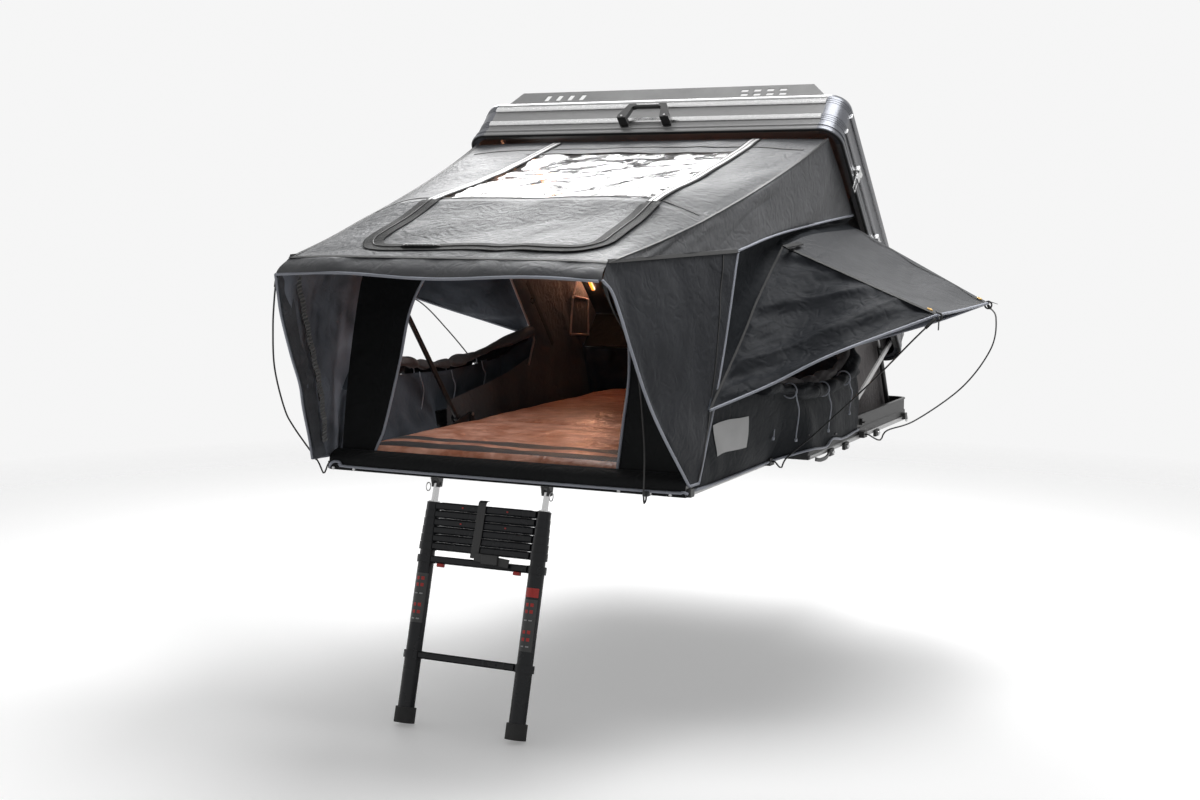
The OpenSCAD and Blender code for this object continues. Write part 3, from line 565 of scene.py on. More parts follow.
@dataclass(frozen=True)
class ShadedLidMetal(Metal):
    """Anodised extrusion with painted shade on the sides of the lid."""

    # Colour of the painted shade on the sideways faces.
    side: Colour = (0.11, 0.112, 0.12, 1.0)

    def dress(self, graph: Graph, shader: bpy.types.Node) -> None:
        """Paints shade on the faces that look sideways."""
        super().dress(graph, shader)
        # Painted shade: faces whose normal points along X take the darker colour.
        facing = graph.add("ShaderNodeNewGeometry").outputs["Normal"]
        across = graph.add("ShaderNodeSeparateXYZ", {0: facing}).outputs[0]
        mask = graph.ramp(graph.math("ABSOLUTE", across), 0.55, 0.85)
        self.overlay(graph, shader, mask, self.side)


@dataclass(frozen=True)
class Rail(Metal):
    """Anodised extrusion made near black above its lowest edge."""

    bright_below: float = 0.014
    # Near-black colour of everything above the lowest edge.
    web: Colour = grey(0.02)

    def dress(self, graph: Graph, shader: bpy.types.Node) -> None:
        """Keeps only the lowest edge bright."""
        super().dress(graph, shader)
        height = graph.add("ShaderNodeSeparateXYZ", {0: graph.spot()}).outputs[2]
        mask = graph.ramp(height, self.bright_below, self.bright_below + 0.002)
        self.overlay(graph, shader, mask, self.web)


@dataclass(frozen=True)
class Ground(Finish):
    """Pale studio floor that thins out to the white behind it."""

    centre: Point = (0.0, -0.8, -0.8)
    near: float = 2.4
    far: float = 6.5
    lift: float = 0.25

    def dress(self, graph: Graph, shader: bpy.types.Node) -> None:
        """Keeps the floor almost even, its shadow light and its far rim faded."""
        self.tint(graph, shader, Effect.SOIL, 0.3, 0.985)
        away = graph.add("ShaderNodeVectorMath", {0: graph.spot(), 1: self.centre},
                         operation="DISTANCE")
        seen = graph.ramp(away.outputs["Value"], self.near, self.far, 1.0, 0.0)
        graph.join(seen, shader, "Alpha")
        camera = graph.add("ShaderNodeLightPath").outputs["Is Camera Ray"]
        glow = graph.blend(camera, grey(0.0), grey(self.lift))
        graph.join(glow, shader, "Emission Color")
        graph.fix(shader, {"Emission Strength": 1.0})


FLY_CANVAS = Canvas("fly canvas", (0.036, 0.038, 0.042, 1.0), 0.5, specular=0.4, lining=3.0)
# The fly's cloth painted almost twice as light: painted light on the hip panels and the eave, which
# catch more light from above.
LIT_HIP_CANVAS = Canvas("hip canvas with painted light", (0.064, 0.066, 0.071, 1.0), 0.5, specular=0.4, lining=2.0)
# The fly's cloth whose inner face is nine times lighter: painted light on the inside of the wings,
# where light comes through the cloth.
WING_CANVAS_LIT_INSIDE = Canvas("wing canvas with painted light inside", (0.03, 0.032, 0.037, 1.0), 0.55, specular=0.16, lining=9.0)
# The fly's cloth painted about half as light: painted shade on the awning gussets.
SHADED_GUSSET_CANVAS = Canvas("gusset canvas with painted shade", (0.017, 0.019, 0.023, 1.0), 0.5, 0.12, sheen=0.01,
                       lining=4.0)
WALL_CANVAS = Canvas("wall canvas", (0.013, 0.015, 0.018, 1.0), 0.6, 0.12, sheen=0.01, lining=7.0)
DARK_CANVAS = Canvas("door canvas", grey(0.009, -0.0006), 0.7, specular=0.15)
LINING = Canvas("inner canvas", (0.13, 0.12, 0.12, 1.0), 0.7, specular=0.2)
PIPING = Canvas("grey piping", (0.42, 0.44, 0.5, 1.0), 0.45, thread=0.003, crumple=0.0003)
ROSE_PIPING = Canvas("rose grey piping", (0.5, 0.38, 0.36, 1.0), 0.5, thread=0.003, crumple=0.0003)
SEAM_TAPE = Canvas("seam tape", grey(0.05), 0.55, thread=0.003, crumple=0.0004)
BLACK_WEB = Webbing("black webbing", grey(0.014), 0.5)
ZIP_WEB = Webbing("zip webbing", grey(0.008), 0.6, specular=0.1)
SILVER_WEB = Webbing("silver webbing", grey(0.42), 0.3)
CRINKLE = Webbing("elastic gather", grey(0.3), 0.3, thread=0.009)
SKYLIGHT = ClearFilm("clear film", grey(0.2), 0.07)
COVER = Quilt("mattress cover", (0.84, 0.45, 0.33, 1.0), 0.4)
SPACER = SpacerMesh("spacer mesh", grey(0.03), 0.45)
DARK_ALLOY = ShadedLidMetal("dark alloy", grey(0.22), 0.34, metallic=0.8)
CAP_ALLOY = Metal("cap alloy", (0.13, 0.135, 0.15, 1.0), 0.3, metallic=0.7)
BRIGHT_ALLOY = ShadedLidMetal("bright alloy", grey(0.66), 0.25)
GREY_ALLOY = Metal("grey alloy", grey(0.55, 0.004), 0.42, metallic=0.6)
RAIL_ALLOY = Rail("rail alloy", grey(0.55), 0.4, metallic=0.5)
STEEL = Metal("brushed steel", grey(0.58), 0.3)
BRASS = Metal("brass eyelet", (0.55, 0.36, 0.14, 1.0), 0.32)
BLACK_COAT = PowderCoat("black powder coat", grey(0.014), 0.42)
PLATE_COAT = PowderCoat("plate powder coat", grey(0.32), 0.36)
BLACK_MOULD = Moulded("black moulding", grey(0.014), 0.48)
RUBBER = Moulded("black rubber", grey(0.012), 0.75, grain=180.0)
BOARD = Moulded("floor board", grey(0.03), 0.7, grain=90.0)
LADDER_COAT = PowderCoat("ladder anodising", (0.007, 0.008, 0.01, 1.0), 0.24, specular=0.18)
LABEL = PowderCoat("blank label", grey(0.05), 0.3, specular=0.3)
LABEL_PALE = PowderCoat("pale blank field", grey(0.42), 0.4)
RED_TAB = Moulded("red release tab", (0.5, 0.02, 0.015, 1.0), 0.4)
AMBER = Glow("amber light", (1.0, 0.3, 0.03, 1.0), 0.4, strength=36.0)
PALE_PATCH = Canvas("blank patch", grey(0.62), 0.6, thread=0.002, crumple=0.0004)


# Meshes


def ease(share: np.ndarray) -> np.ndarray:
    """Returns shares from 0 to 1, eased at both ends."""
    return share * share * (3 - 2 * share)


def arch(count: int) -> np.ndarray:
    """Returns half a wave over a number of points."""
    return np.sin(np.linspace(0, math.pi, count))


def reach_along(path: np.ndarray) -> np.ndarray:
    """Returns the distance of each point from the start of a path."""
    return np.concatenate([[0], np.cumsum(np.linalg.norm(np.diff(path, axis=0), axis=1))])


def smooth_noise(a: np.ndarray, b: np.ndarray, seed: int) -> np.ndarray:
    """Gives smooth noise over two coordinates, one lattice cell per unit.

    Args:
        a: First coordinate.
        b: Second coordinate.
        seed: Seed of the lattice.

    Returns:
        Values from -1 to 1.
    """
    size = 64
    table = np.random.default_rng(seed).uniform(-1.0, 1.0, (size, size))
    i, j = np.floor(a).astype(int), np.floor(b).astype(int)
    s, t = ease(a - i), ease(b - j)
    i, j = i % size, j % size
    k, m = (i + 1) % size, (j + 1) % size
    low = table[i, j] * (1 - s) + table[k, j] * s
    high = table[i, m] * (1 - s) + table[k, m] * s
    return low * (1 - t) + high * t


def curve(points: Sequence[Point] | np.ndarray, count: int) -> np.ndarray:
    """Samples a smooth curve through points, evenly along its length.

    Args:
        points: Points that the curve passes.
        count: Number of samples.

    Returns:
        The samples, one row each.
    """
    p = np.array(points, float)
    if len(p) > 2:
        p = np.vstack([2 * p[0] - p[1], p, 2 * p[-1] - p[-2]])
        fine = []
        for a, b, c, d in zip(p, p[1:], p[2:], p[3:]):
            for t in np.linspace(0, 1, 24, endpoint=False):
                fine.append(0.5 * (2 * b + (c - a) * t + (2 * a - 5 * b + 4 * c - d) * t * t
                                   + (3 * b - a - 3 * c + d) * t ** 3))
        p = np.vstack([fine, p[-2]])
    reach = reach_along(p)
    at = np.linspace(0, reach[-1], count)
    return np.stack([np.interp(at, reach, p[:, i]) for i in range(3)], axis=1)


def chain(*runs: np.ndarray) -> np.ndarray:
    """Joins curves that share their end points into one.

    Args:
        *runs: Curves, each starting where the last one ends.

    Returns:
        All the points, each shared one once.
    """
    return np.vstack([runs[0], *[r[1:] for r in runs[1:]]])


def ruled(first: np.ndarray, last: np.ndarray, rows: int) -> np.ndarray:
    """Spans a grid between two curves of equal count.

    Args:
        first: Curve of the first row.
        last: Curve of the last row.
        rows: Number of rows.

    Returns:
        The grid, rows by points by three.
    """
    t = np.linspace(0, 1, rows)[:, None, None]
    return first[None] * (1 - t) + last[None] * t


def coons(low: np.ndarray, high: np.ndarray, start: np.ndarray, end: np.ndarray) -> np.ndarray:
    """Spans a grid between four curves that meet in its corners.

    Args:
        low: First row.
        high: Last row.
        start: First column.
        end: Last column.

    Returns:
        The grid, rows by points by three.
    """
    u = np.linspace(0, 1, len(low))[None, :, None]
    v = np.linspace(0, 1, len(start))[:, None, None]
    rows = low[None] * (1 - v) + high[None] * v
    cols = start[:, None] * (1 - u) + end[:, None] * u
    flat = (low[0] * (1 - u) + low[-1] * u) * (1 - v) + (high[0] * (1 - u) + high[-1] * u) * v
    return rows + cols - flat


def grid_normals(grid: np.ndarray) -> np.ndarray:
    """Gives a unit normal at each grid point.

    Args:
        grid: Grid of points.

    Returns:
        Normals in a grid of the same shape.
    """
    normal = np.cross(np.gradient(grid, axis=1), np.gradient(grid, axis=0))
    size = np.linalg.norm(normal, axis=2, keepdims=True)
    return normal / np.maximum(size, 1e-9)


def grid_lengths(grid: np.ndarray) -> tuple[np.ndarray, np.ndarray]:
    """Measures each grid point along its row and its column.

    Args:
        grid: Grid of points.

    Returns:
        Distances along rows and along columns.
    """
    across = np.zeros(grid.shape[:2])
    down = np.zeros(grid.shape[:2])
    across[:, 1:] = np.cumsum(np.linalg.norm(np.diff(grid, axis=1), axis=2), axis=1)
    down[1:] = np.cumsum(np.linalg.norm(np.diff(grid, axis=0), axis=2), axis=0)
    return across, down


@dataclass(frozen=True)
class Folds:
    """Wrinkles of a hung panel.

    Attributes:
        height: Height of the folds.
        wave: Distance between them.
        slant: Angle between them and the panel's columns.
        seed: Seed of their noise.
        hem: Share of the panel over which they fade out at its edges.
    """

    height: float
    wave: float
    slant: float
    seed: int
    hem: float

    def apply(self, grid: np.ndarray) -> np.ndarray:
        """Moves a grid along its normals, and leaves its edges in place.

        Args:
            grid: Flat panel.

        Returns:
            The wrinkled panel.
        """
        u, v = grid_lengths(grid)
        rows, cols = grid.shape[:2]
        r = np.linspace(0, 1, rows)[:, None] * np.ones((1, cols))
        c = np.linspace(0, 1, cols)[None] * np.ones((rows, 1))
        inside = np.minimum(np.minimum(r, 1 - r), np.minimum(c, 1 - c))
        edge = ease(np.clip(inside / self.hem, 0, 1))
        along = (u * math.cos(self.slant) + v * math.sin(self.slant)) / self.wave
        across = (v * math.cos(self.slant) - u * math.sin(self.slant)) / self.wave
        bend = smooth_noise(along * 0.6 + 7, across * 0.25 + 7, self.seed)
        phase = math.pi * (along * 0.5 + 0.5 * bend)
        ridge = 0.45 * np.sin(2 * phase) + 0.55 * (1 - 2 * np.abs(np.sin(phase)) ** 0.75)
        share = 0.5 + 0.5 * smooth_noise(along * 0.5 + 3, across * 0.35 + 3, self.seed + 1)
        small = smooth_noise(along * 2.3, across * 1.1, self.seed + 2)
        lift = self.height * (ridge * share + 0.35 * small) * edge
        return grid + grid_normals(grid) * lift[..., None]


def link(name: str, mesh: bpy.types.Mesh, finish: Finish) -> bpy.types.Object:
    """Puts a mesh into the scene.

    Args:
        name: Name of the piece.
        mesh: Its mesh.
        finish: Its finish.

    Returns:
        The new object.
    """
    mesh.materials.append(finish.material())
    piece = bpy.data.objects.new(name, mesh)
    bpy.context.scene.collection.objects.link(piece)
    return piece


def solid(name: str, points: np.ndarray, faces: Iterable[Sequence[int]], finish: Finish,
          uv: Optional[np.ndarray] = None, smooth: bool = True) -> bpy.types.Object:
    """Makes a mesh piece from points and faces.

    Args:
        name: Name of the piece.
        points: Vertices.
        faces: Vertex numbers of each face.
        finish: Finish of the piece.
        uv: Flat coordinates of each vertex in metres.
        smooth: Whether its faces shade smoothly.

    Returns:
        The new object.
    """
    mesh = bpy.data.meshes.new(name)
    mesh.from_pydata([tuple(p) for p in np.asarray(points, float)], [], [tuple(f) for f in faces])
    layer = mesh.uv_layers.new(name=UV_NAME)
    flat = np.asarray(points, float)[:, :2] if uv is None else uv
    order = np.zeros(len(mesh.loops), int)
    mesh.loops.foreach_get("vertex_index", order)
    layer.data.foreach_set("uv", flat[order].astype(np.float32).ravel())
    mesh.polygons.foreach_set("use_smooth", [smooth] * len(mesh.polygons))
    mesh.update()
    return link(name, mesh, finish)


def grid_faces(rows: int, cols: int, skip: Optional[np.ndarray] = None) -> list[tuple[int, ...]]:
    """Lists the quads of a grid.

    Args:
        rows: Rows of points.
        cols: Points in each row.
        skip: Cells to leave open.

    Returns:
        Vertex numbers of each quad.
    """
    faces = []
    for r in range(rows - 1):
        for c in range(cols - 1):
            if skip is None or not skip[r, c]:
                a = r * cols + c
                faces.append((a, a + 1, a + cols + 1, a + cols))
    return faces


def frames_along(path: np.ndarray) -> tuple[np.ndarray, np.ndarray]:
    """Gives two side directions along a path, without twist.

    Args:
        path: Points of the path.

    Returns:
        First and second side direction at each point.
    """
    tangent = np.gradient(path, axis=0)
    tangent /= np.linalg.norm(tangent, axis=1, keepdims=True)
    first = np.zeros_like(path)
    side = np.cross(tangent[0], (0.31, 0.22, 0.92))
    for i, t in enumerate(tangent):
        side = side - t * (side @ t)
        side /= np.linalg.norm(side)
        first[i] = side
    return first, np.cross(tangent, first)


def loft(name: str, path: np.ndarray, rings: np.ndarray, around: Sequence[float], finish: Finish,
         smooth: bool = True) -> bpy.types.Object:
    """Closes equal rings of points along a path into one piece.

    Args:
        name: Name of the piece.
        path: Centre of each ring.
        rings: Points of each ring.
        around: Place of each point round its ring, in metres.
        finish: Finish of the piece.
        smooth: Whether its faces shade smoothly.

    Returns:
        The new object.
    """
    count, n = rings.shape[:2]
    faces = [(i * n + j, i * n + (j + 1) % n, (i + 1) * n + (j + 1) % n, (i + 1) * n + j)
             for i in range(count - 1) for j in range(n)]
    faces.append(tuple(range(n - 1, -1, -1)))
    faces.append(tuple((count - 1) * n + j for j in range(n)))
    uv = np.stack([np.repeat(reach_along(path), n), np.tile(around, count)], axis=1)
    return solid(name, rings.reshape(-1, 3), faces, finish, uv, smooth)


def tube(name: str, path: np.ndarray, radius: object, finish: Finish, sides: int = 10,
         flat: float = 1.0) -> bpy.types.Object:
    """Makes a closed round or oval rod along a path.

    Args:
        name: Name of the piece.
        path: Points of the centre line.
        radius: Radius, or one for each point.
        finish: Finish of the piece.
        sides: Corners of the section.
        flat: Height of the section as a share of its width.

    Returns:
        The new object.
    """
    radius = np.broadcast_to(np.asarray(radius, float), (len(path),))
    first, second = frames_along(path)
    turn = np.linspace(0, 2 * math.pi, sides, endpoint=False)
    ring = (np.cos(turn)[None, :, None] * first[:, None]
            + flat * np.sin(turn)[None, :, None] * second[:, None])
    rings = path[:, None] + ring * radius[:, None, None]
    return loft(name, path, rings, turn * float(radius.max()), finish)


def band(name: str, path: np.ndarray, normal: np.ndarray, width: float, thick: float,
         finish: Finish) -> bpy.types.Object:
    """Makes a flat strap along a path.

    Args:
        name: Name of the piece.
        path: Points of the centre line.
        normal: Direction away from what carries it, one or one for each point.
        width: Width of the strap.
        thick: Its thickness.
        finish: Finish of the piece.

    Returns:
        The new object.
    """
    normal = np.broadcast_to(np.asarray(normal, float), path.shape)
    tangent = np.gradient(path, axis=0)
    side = np.cross(tangent, normal)
    side /= np.linalg.norm(side, axis=1, keepdims=True)
    up = np.cross(side, tangent)
    up /= np.linalg.norm(up, axis=1, keepdims=True)
    profile = [(-1, 0.0), (-1, 0.7), (-0.9, 1.0), (0.9, 1.0), (1, 0.7), (1, 0.0)]
    rings = np.array([[p + s * width / 2 * a + u * thick * b for a, b in profile]
                      for p, s, u in zip(path, side, up)])
    return loft(name, path, rings, [a * width / 2 for a, _ in profile], finish, smooth=False)


def block(name: str, centre: Point, size: Point, finish: Finish, soft: float = 0.002,
          lean: float = 0.0) -> bpy.types.Object:
    """Makes a small fitting with rounded edges.

    Args:
        name: Name of the piece.
        centre: Its middle.
        size: Its full sizes.
        finish: Finish of the piece.
        soft: Radius of the edges.
        lean: Turn about X in radians.

    Returns:
        The new object.
    """
    corners = np.array([(x, y, z) for x in (-1, 1) for y in (-1, 1) for z in (-1, 1)], float)
    points = corners * np.array(size) / 2
    c, s = math.cos(lean), math.sin(lean)
    points = points @ np.array([[1, 0, 0], [0, c, s], [0, -s, c]]) + np.array(centre)
    faces = [(0, 1, 3, 2), (4, 6, 7, 5), (0, 4, 5, 1), (2, 3, 7, 6), (0, 2, 6, 4), (1, 5, 7, 3)]
    piece = solid(name, points, faces, finish, smooth=False)
    edge = piece.modifiers.new("rounded", "BEVEL")
    edge.width = soft
    edge.segments = 3
    return piece


def ring(name: str, centre: Point, axis: Point, radius: float, wire: float,
         finish: Finish) -> bpy.types.Object:
    """Makes a closed ring.

    Args:
        name: Name of the piece.
        centre: Its middle.
        axis: Direction that it turns about.
        radius: Radius of the wire's centre line.
        wire: Radius of the wire.
        finish: Finish of the piece.

    Returns:
        The new object.
    """
    turn = Vector((0, 0, 1)).rotation_difference(Vector(axis)).to_matrix()
    sides, steps = 8, 28
    points, faces = [], []
    for i in range(steps):
        a = 2 * math.pi * i / steps
        for j in range(sides):
            b = 2 * math.pi * j / sides
            reach = radius + wire * math.cos(b)
            spot = Vector((reach * math.cos(a), reach * math.sin(a), wire * math.sin(b)))
            points.append(tuple(Vector(centre) + turn @ spot))
            faces.append((i * sides + j, (i + 1) % steps * sides + j,
                          (i + 1) % steps * sides + (j + 1) % sides, i * sides + (j + 1) % sides))
    return solid(name, np.array(points), faces, finish)


# How pieces move


@dataclass(frozen=True)
class Gather:
    """How cloth crumples as a joint folds.

    Attributes:
        joint: Joint that gathers the cloth.
        axis: Direction in which it is pressed together.
        anchor: Point that stays in place.
        keep: Share of its length that is left.
    """

    joint: str
    axis: Point
    anchor: Point
    keep: float = 0.05


@dataclass(frozen=True)
class LidPlane:
    """Own axes of the open lid."""

    angle: float = math.radians(44.6)
    rear_y: float = 0.5562
    rear_z: float = 0.2545

    def at(self, x: float, along: float, up: float) -> Point:
        """Places a point of the lid.

        Args:
            x: Sideways place.
            along: Distance behind the rear lip, below zero towards the front.
            up: Distance above the lip.

        Returns:
            The point in the part's frame.
        """
        c, s = math.cos(self.angle), math.sin(self.angle)
        return (x, self.rear_y + along * c + up * s, self.rear_z - along * s + up * c)


LID_AXES = LidPlane()
# Where the cloth meets the lid's front lip, and the point that it gathers to.
LIP_ALONG, LIP_UP = -1.292, -0.014
LIP_Y = LID_AXES.at(0.0, LIP_ALONG, LIP_UP)[1]
LIP = LID_AXES.at(0.0, -1.30, 0.02)


class Motion(Enum):
    """What carries a piece, and how cloth gives way when the tent folds."""

    BASE = ("base", None)
    LID = ("lid", None)
    FLOOR = ("floor", None)
    LADDER_TOP = ("ladder_1", None)
    LADDER_MIDDLE = ("ladder_7", None)
    ROOF = ("lid", Gather("lid_tilt", (0.0, -0.966, -0.259), LIP, 0.04))
    FRONT = ("bow", Gather("floor_fold", (0.0, -0.95, -0.31), (0.0, -1.36, 0.9), 0.06))
    SIDE = ("lid", Gather("lid_tilt", (0.0, -0.87, -0.49), LID_AXES.at(0.0, -1.1, 0.02), 0.05))
    WING = ("floor", Gather("floor_fold", (0.0, -0.35, 0.94), (0.0, -1.5, 0.07), 0.06))
    WALL = ("base", Gather("lid_tilt", (0.0, 0.0, 1.0), (0.0, 0.0, 0.09), 0.06))
    FLOOR_WALL = ("floor", Gather("floor_fold", (0.0, 0.0, 1.0), (0.0, 0.0, 0.05), 0.1))
    AWNING = ("base", Gather("lid_tilt", (0.0, 0.0, 1.0), (0.0, 0.0, 0.05), 0.05))

    def carry(self, *pieces: bpy.types.Object) -> None:
        """Puts pieces on their body.

        Args:
            *pieces: Pieces whose meshes are final.
        """
        body, gather = self.value
        for piece in pieces:
            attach(piece, body)
            if gather:
                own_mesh(piece)


# Cloth


@dataclass
class ClothWork:
    """Sewing shared by the cloth sub-assemblies."""

    pipe_r: float = 0.0048
    tape_w: float = 0.013
    tape_t: float = 0.0012
    seam_lift: float = 0.001
    # Least share of its flat rectangle that a cut panel is said to fill.
    least_fill: float = 0.32

    def panel(self, name: str, grid: np.ndarray, finish: Finish, motion: Motion, held: str,
              rests_on: Sequence[str], skip: Optional[np.ndarray] = None) -> bpy.types.Object:
        """Args:
            name: Name of the piece.
            grid: Points of the panel.
            finish: Its cloth.
            motion: What carries it.
            held: How the cloth is held; not used.
            rests_on: Nodes that it hangs from or lies on; not used.
            skip: Grid cells that are cut out.

        Returns:
            The new object.
        """
        rows, cols = grid.shape[:2]
        u, v = grid_lengths(grid)
        uv = np.stack([u.ravel(), v.ravel()], axis=1)
        faces = grid_faces(rows, cols, skip)
        out = (grid_normals(grid) * (grid - np.array(INSIDE))).sum()
        if out < 0:
            faces = [f[::-1] for f in faces]
        piece = solid(name, grid.reshape(-1, 3), faces, finish, uv)
        area = sum(p.area for p in piece.data.polygons)
        width, length = float(u[:, -1].max()), float(v[-1].max())
        length *= min(1.0, area / (width * length) / self.least_fill)
        motion.carry(piece)
        LOG.info("%s: %.2f by %.2f m of cloth, %.2f square metres", name, width, length, area)
        return piece

    def pipe(self, name: str, path: np.ndarray, motion: Motion,
             finish: Finish = PIPING) -> bpy.types.Object:
        """Sews piping along an edge.

        Args:
            name: Name of the piece.
            path: Points of the edge.
            motion: What carries it.
            finish: Its cloth.

        Returns:
            The new object.
        """
        piece = tube(name, path, self.pipe_r, finish, sides=8)
        motion.carry(piece)
        return piece

    def seam(self, name: str, path: np.ndarray, normal: Sequence[float], motion: Motion,
             finish: Finish = SEAM_TAPE, width: float = 0.0) -> bpy.types.Object:
        """Lays a flat seam over a panel.

        Args:
            name: Name of the piece.
            path: Points of the seam.
            normal: Direction away from the panel.
            motion: What carries it.
            finish: Its cloth.
            width: Width, or zero for the usual one.

        Returns:
            The new object.
        """
        piece = band(name, path, np.array(normal, float), width or self.tape_w, self.tape_t, finish)
        motion.carry(piece)
        return piece


@dataclass
class Roof(ClothWork):
    """Canopy roof with its clear window, zip strip and eave."""

    lid_half: float = 0.736
    bow_half: float = 0.642
    ridge_half: float = 0.565
    eave_right: float = 0.579
    eave_left: float = 0.602
    bow_y: float = -1.3606
    bow_z: float = 0.9186
    ridge_y: float = -1.88
    ridge_z: float = 0.743
    drop: float = 0.062
    eave_y: float = -1.942
    eave_z: float = 0.689
    window_x: tuple[float, float] = (-0.36, 0.47)
    window_v: tuple[float, float] = (0.12, 0.6)
    window_cols: tuple[int, int] = (16, 52)
    strip_w: float = 0.046
    strip_low: float = 0.93
    strip_turn: float = 0.07
    bow_row: int = 40
    out: Point = (0.0, -0.26, 0.966)

    def profile(self) -> np.ndarray:
        """Returns places from the lid lip to the ridge: half width, y and z."""
        lid = LID_AXES.at(self.lid_half, LIP_ALONG, LIP_UP)
        start, bow, end = (np.array(p) for p in (
            lid, (self.bow_half, self.bow_y, self.bow_z),
            (self.ridge_half, self.ridge_y, self.ridge_z)))
        t = np.linspace(0, 1, self.bow_row + 1)[:, None]
        rear = start * (1 - t) + bow * t - np.array([0.0, 0.0, 0.012]) * np.sin(math.pi * t)
        t = np.linspace(0, 1, 25)[:, None]
        front = bow * (1 - t) + end * t - np.array([0.0, 0.0, 0.008]) * np.sin(math.pi * t)
        return chain(rear, front)

    def columns(self, half: float) -> np.ndarray:
        """Places the columns of one row, with two of them on the window's sides.

        Args:
            half: Half width of the roof at that row.

        Returns:
            Sideways places.
        """
        low, high = self.window_x
        first, last = self.window_cols
        return np.concatenate([np.linspace(-half, low, first + 1)[:-1],
                               np.linspace(low, high, last - first + 1)[:-1],
                               np.linspace(high, half, 15)])

    def corner_drop(self, y: float) -> float:
        """Returns how far the roof's edge lies below its middle at one place."""
        if y > self.bow_y:
            return 0.006 + self.drop * ((LIP_Y - y) / (LIP_Y - self.bow_y)) ** 0.8
        return 0.006 + self.drop * ((y - self.ridge_y) / (self.bow_y - self.ridge_y)) ** 1.2

    def hip(self) -> np.ndarray:
        """Returns the roof's side edge, from lid to ridge."""
        edge = self.profile()
        edge[:, 2] -= [self.corner_drop(y) for y in edge[:, 1]]
        return edge

    def grid(self) -> np.ndarray:
        """Returns the roof's wrinkled grid, from lid to ridge."""
        rows = []
        for half, y, z in self.profile():
            x = self.columns(half)
            drop = self.corner_drop(y) * np.clip((np.abs(x / half) - 0.6) / 0.4, 0, 1) ** 2
            rows.append(np.stack([x, np.full_like(x, y), z - drop], axis=1))
        wide = Folds(0.008, 0.34, 1.2, 11, 0.05).apply(np.array(rows))
        return Folds(0.004, 0.13, 0.5, 17, 0.05).apply(wide)

    def surface(self, grid: np.ndarray, x: float, v: float) -> np.ndarray:
        """Finds a point of the roof.

        Args:
            grid: The roof's grid.
            x: Sideways place.
            v: Share of the way from lid to ridge.

        Returns:
            The point.
        """
        r = v * (len(grid) - 1)
        i = min(int(r), len(grid) - 2)
        row = grid[i] * (1 - (r - i)) + grid[i + 1] * (r - i)
        return np.array([x, np.interp(x, row[:, 0], row[:, 1]), np.interp(x, row[:, 0], row[:, 2])])

    def build(self) -> None:
        """Builds the roof."""
        grid = self.grid()
        normal = np.array(self.out)
        bow = self.bow_row
        first, last = (int(round(v * (len(grid) - 1))) for v in self.window_v)
        low, high = self.window_cols
        skip = np.zeros((len(grid) - 1, grid.shape[1] - 1), bool)
        skip[first:last, low:high] = True
        rear = self.panel("roof_canopy_rear", grid[:bow + 1], FLY_CANVAS, Motion.ROOF, "stretched",
                          ["lid_frame", "front_bow"], skip[:bow])
        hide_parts("canopy_roof")
        self.panel("roof_canopy_front", grid[bow:], FLY_CANVAS, Motion.FRONT, "stretched",
                   ["front_bow"], skip[bow:])
        film = grid[first - 1:last + 2, low - 1:high + 2] - normal * 0.0015
        film = Folds(0.012, 0.12, 0.7, 23, 0.1).apply(film)
        film = Folds(0.006, 0.055, 1.4, 27, 0.1).apply(film)
        film = self.panel("roof_window_film", film, SKYLIGHT, Motion.ROOF, "stretched",
                          ["canopy_roof"])
        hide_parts("skylight_film")
        for name, row in (("top", 5), ("window_top", first), ("window_low", last)):
            cols = slice(2, -2) if name != "window_top" else slice(low - 2, high + 3)
            path = grid[row, cols] + normal * self.seam_lift
            self.seam(f"roof_seam_{name}", path, normal, Motion.ROOF)
        for name, col in (("left", 0), ("right", -1)):
            edge = grid[:, col] + normal * self.seam_lift
            self.seam(f"hip_seam_{name}", edge[:bow + 1], normal, Motion.ROOF)
            self.seam(f"hip_seam_front_{name}", edge[bow:], normal, Motion.FRONT)
        self.zip_strip(grid, normal)
        self.eave(grid[-1])

    def zip_strip(self, grid: np.ndarray, normal: np.ndarray) -> None:
        """Lays the zip strip round the window cover, with its end roll.

        Args:
            grid: The roof's grid.
            normal: Direction out of the roof.
        """
        left, right = (x + 0.002 for x in self.window_x)
        low, turn = self.strip_low, self.strip_turn
        legs = [[(x, v) for v in np.linspace(0.02, low - turn, 26)] for x in (left, right)]
        bend = [(left + (1 - math.cos(a)) * 0.1, low - turn + turn * math.sin(a))
                for a in np.linspace(0.2, math.pi / 2, 7)]
        far = [(left + right - x, v) for x, v in reversed(bend)]
        cross = [(x, low) for x in np.linspace(left + 0.13, right - 0.13, 18)]
        marks = legs[0] + bend + cross + far + legs[1][::-1]
        path = np.array([self.surface(grid, x, v) for x, v in marks]) + normal * 0.002
        path = curve(path, 160)
        behind = path[:, 1] > self.bow_y
        runs = (("rear_left", path[behind & (path[:, 0] < 0)], Motion.ROOF),
                ("rear_right", path[behind & (path[:, 0] > 0)], Motion.ROOF),
                ("front", path[path[:, 1] <= self.bow_y + 0.012], Motion.FRONT))
        for name, run, motion in runs:
            wide = self.strip_w * (1.5 if motion is Motion.FRONT else 1.0)
            strip = band(f"zip_strip_{name}", run, normal, wide, 0.0025, ZIP_WEB)
            motion.carry(strip)
            if motion is Motion.ROOF:
                shine = band(f"zip_tape_{name}", run + normal * 0.0026, normal, 0.03, 0.0016,
                             SILVER_WEB)
                motion.carry(shine)
            teeth = tube(f"zip_teeth_{name}", run + normal * 0.0036, 0.0022, BLACK_MOULD, 6)
            motion.carry(teeth)
        self.cover_roll(self.surface(grid, -0.13, low) + normal * 0.006, normal)

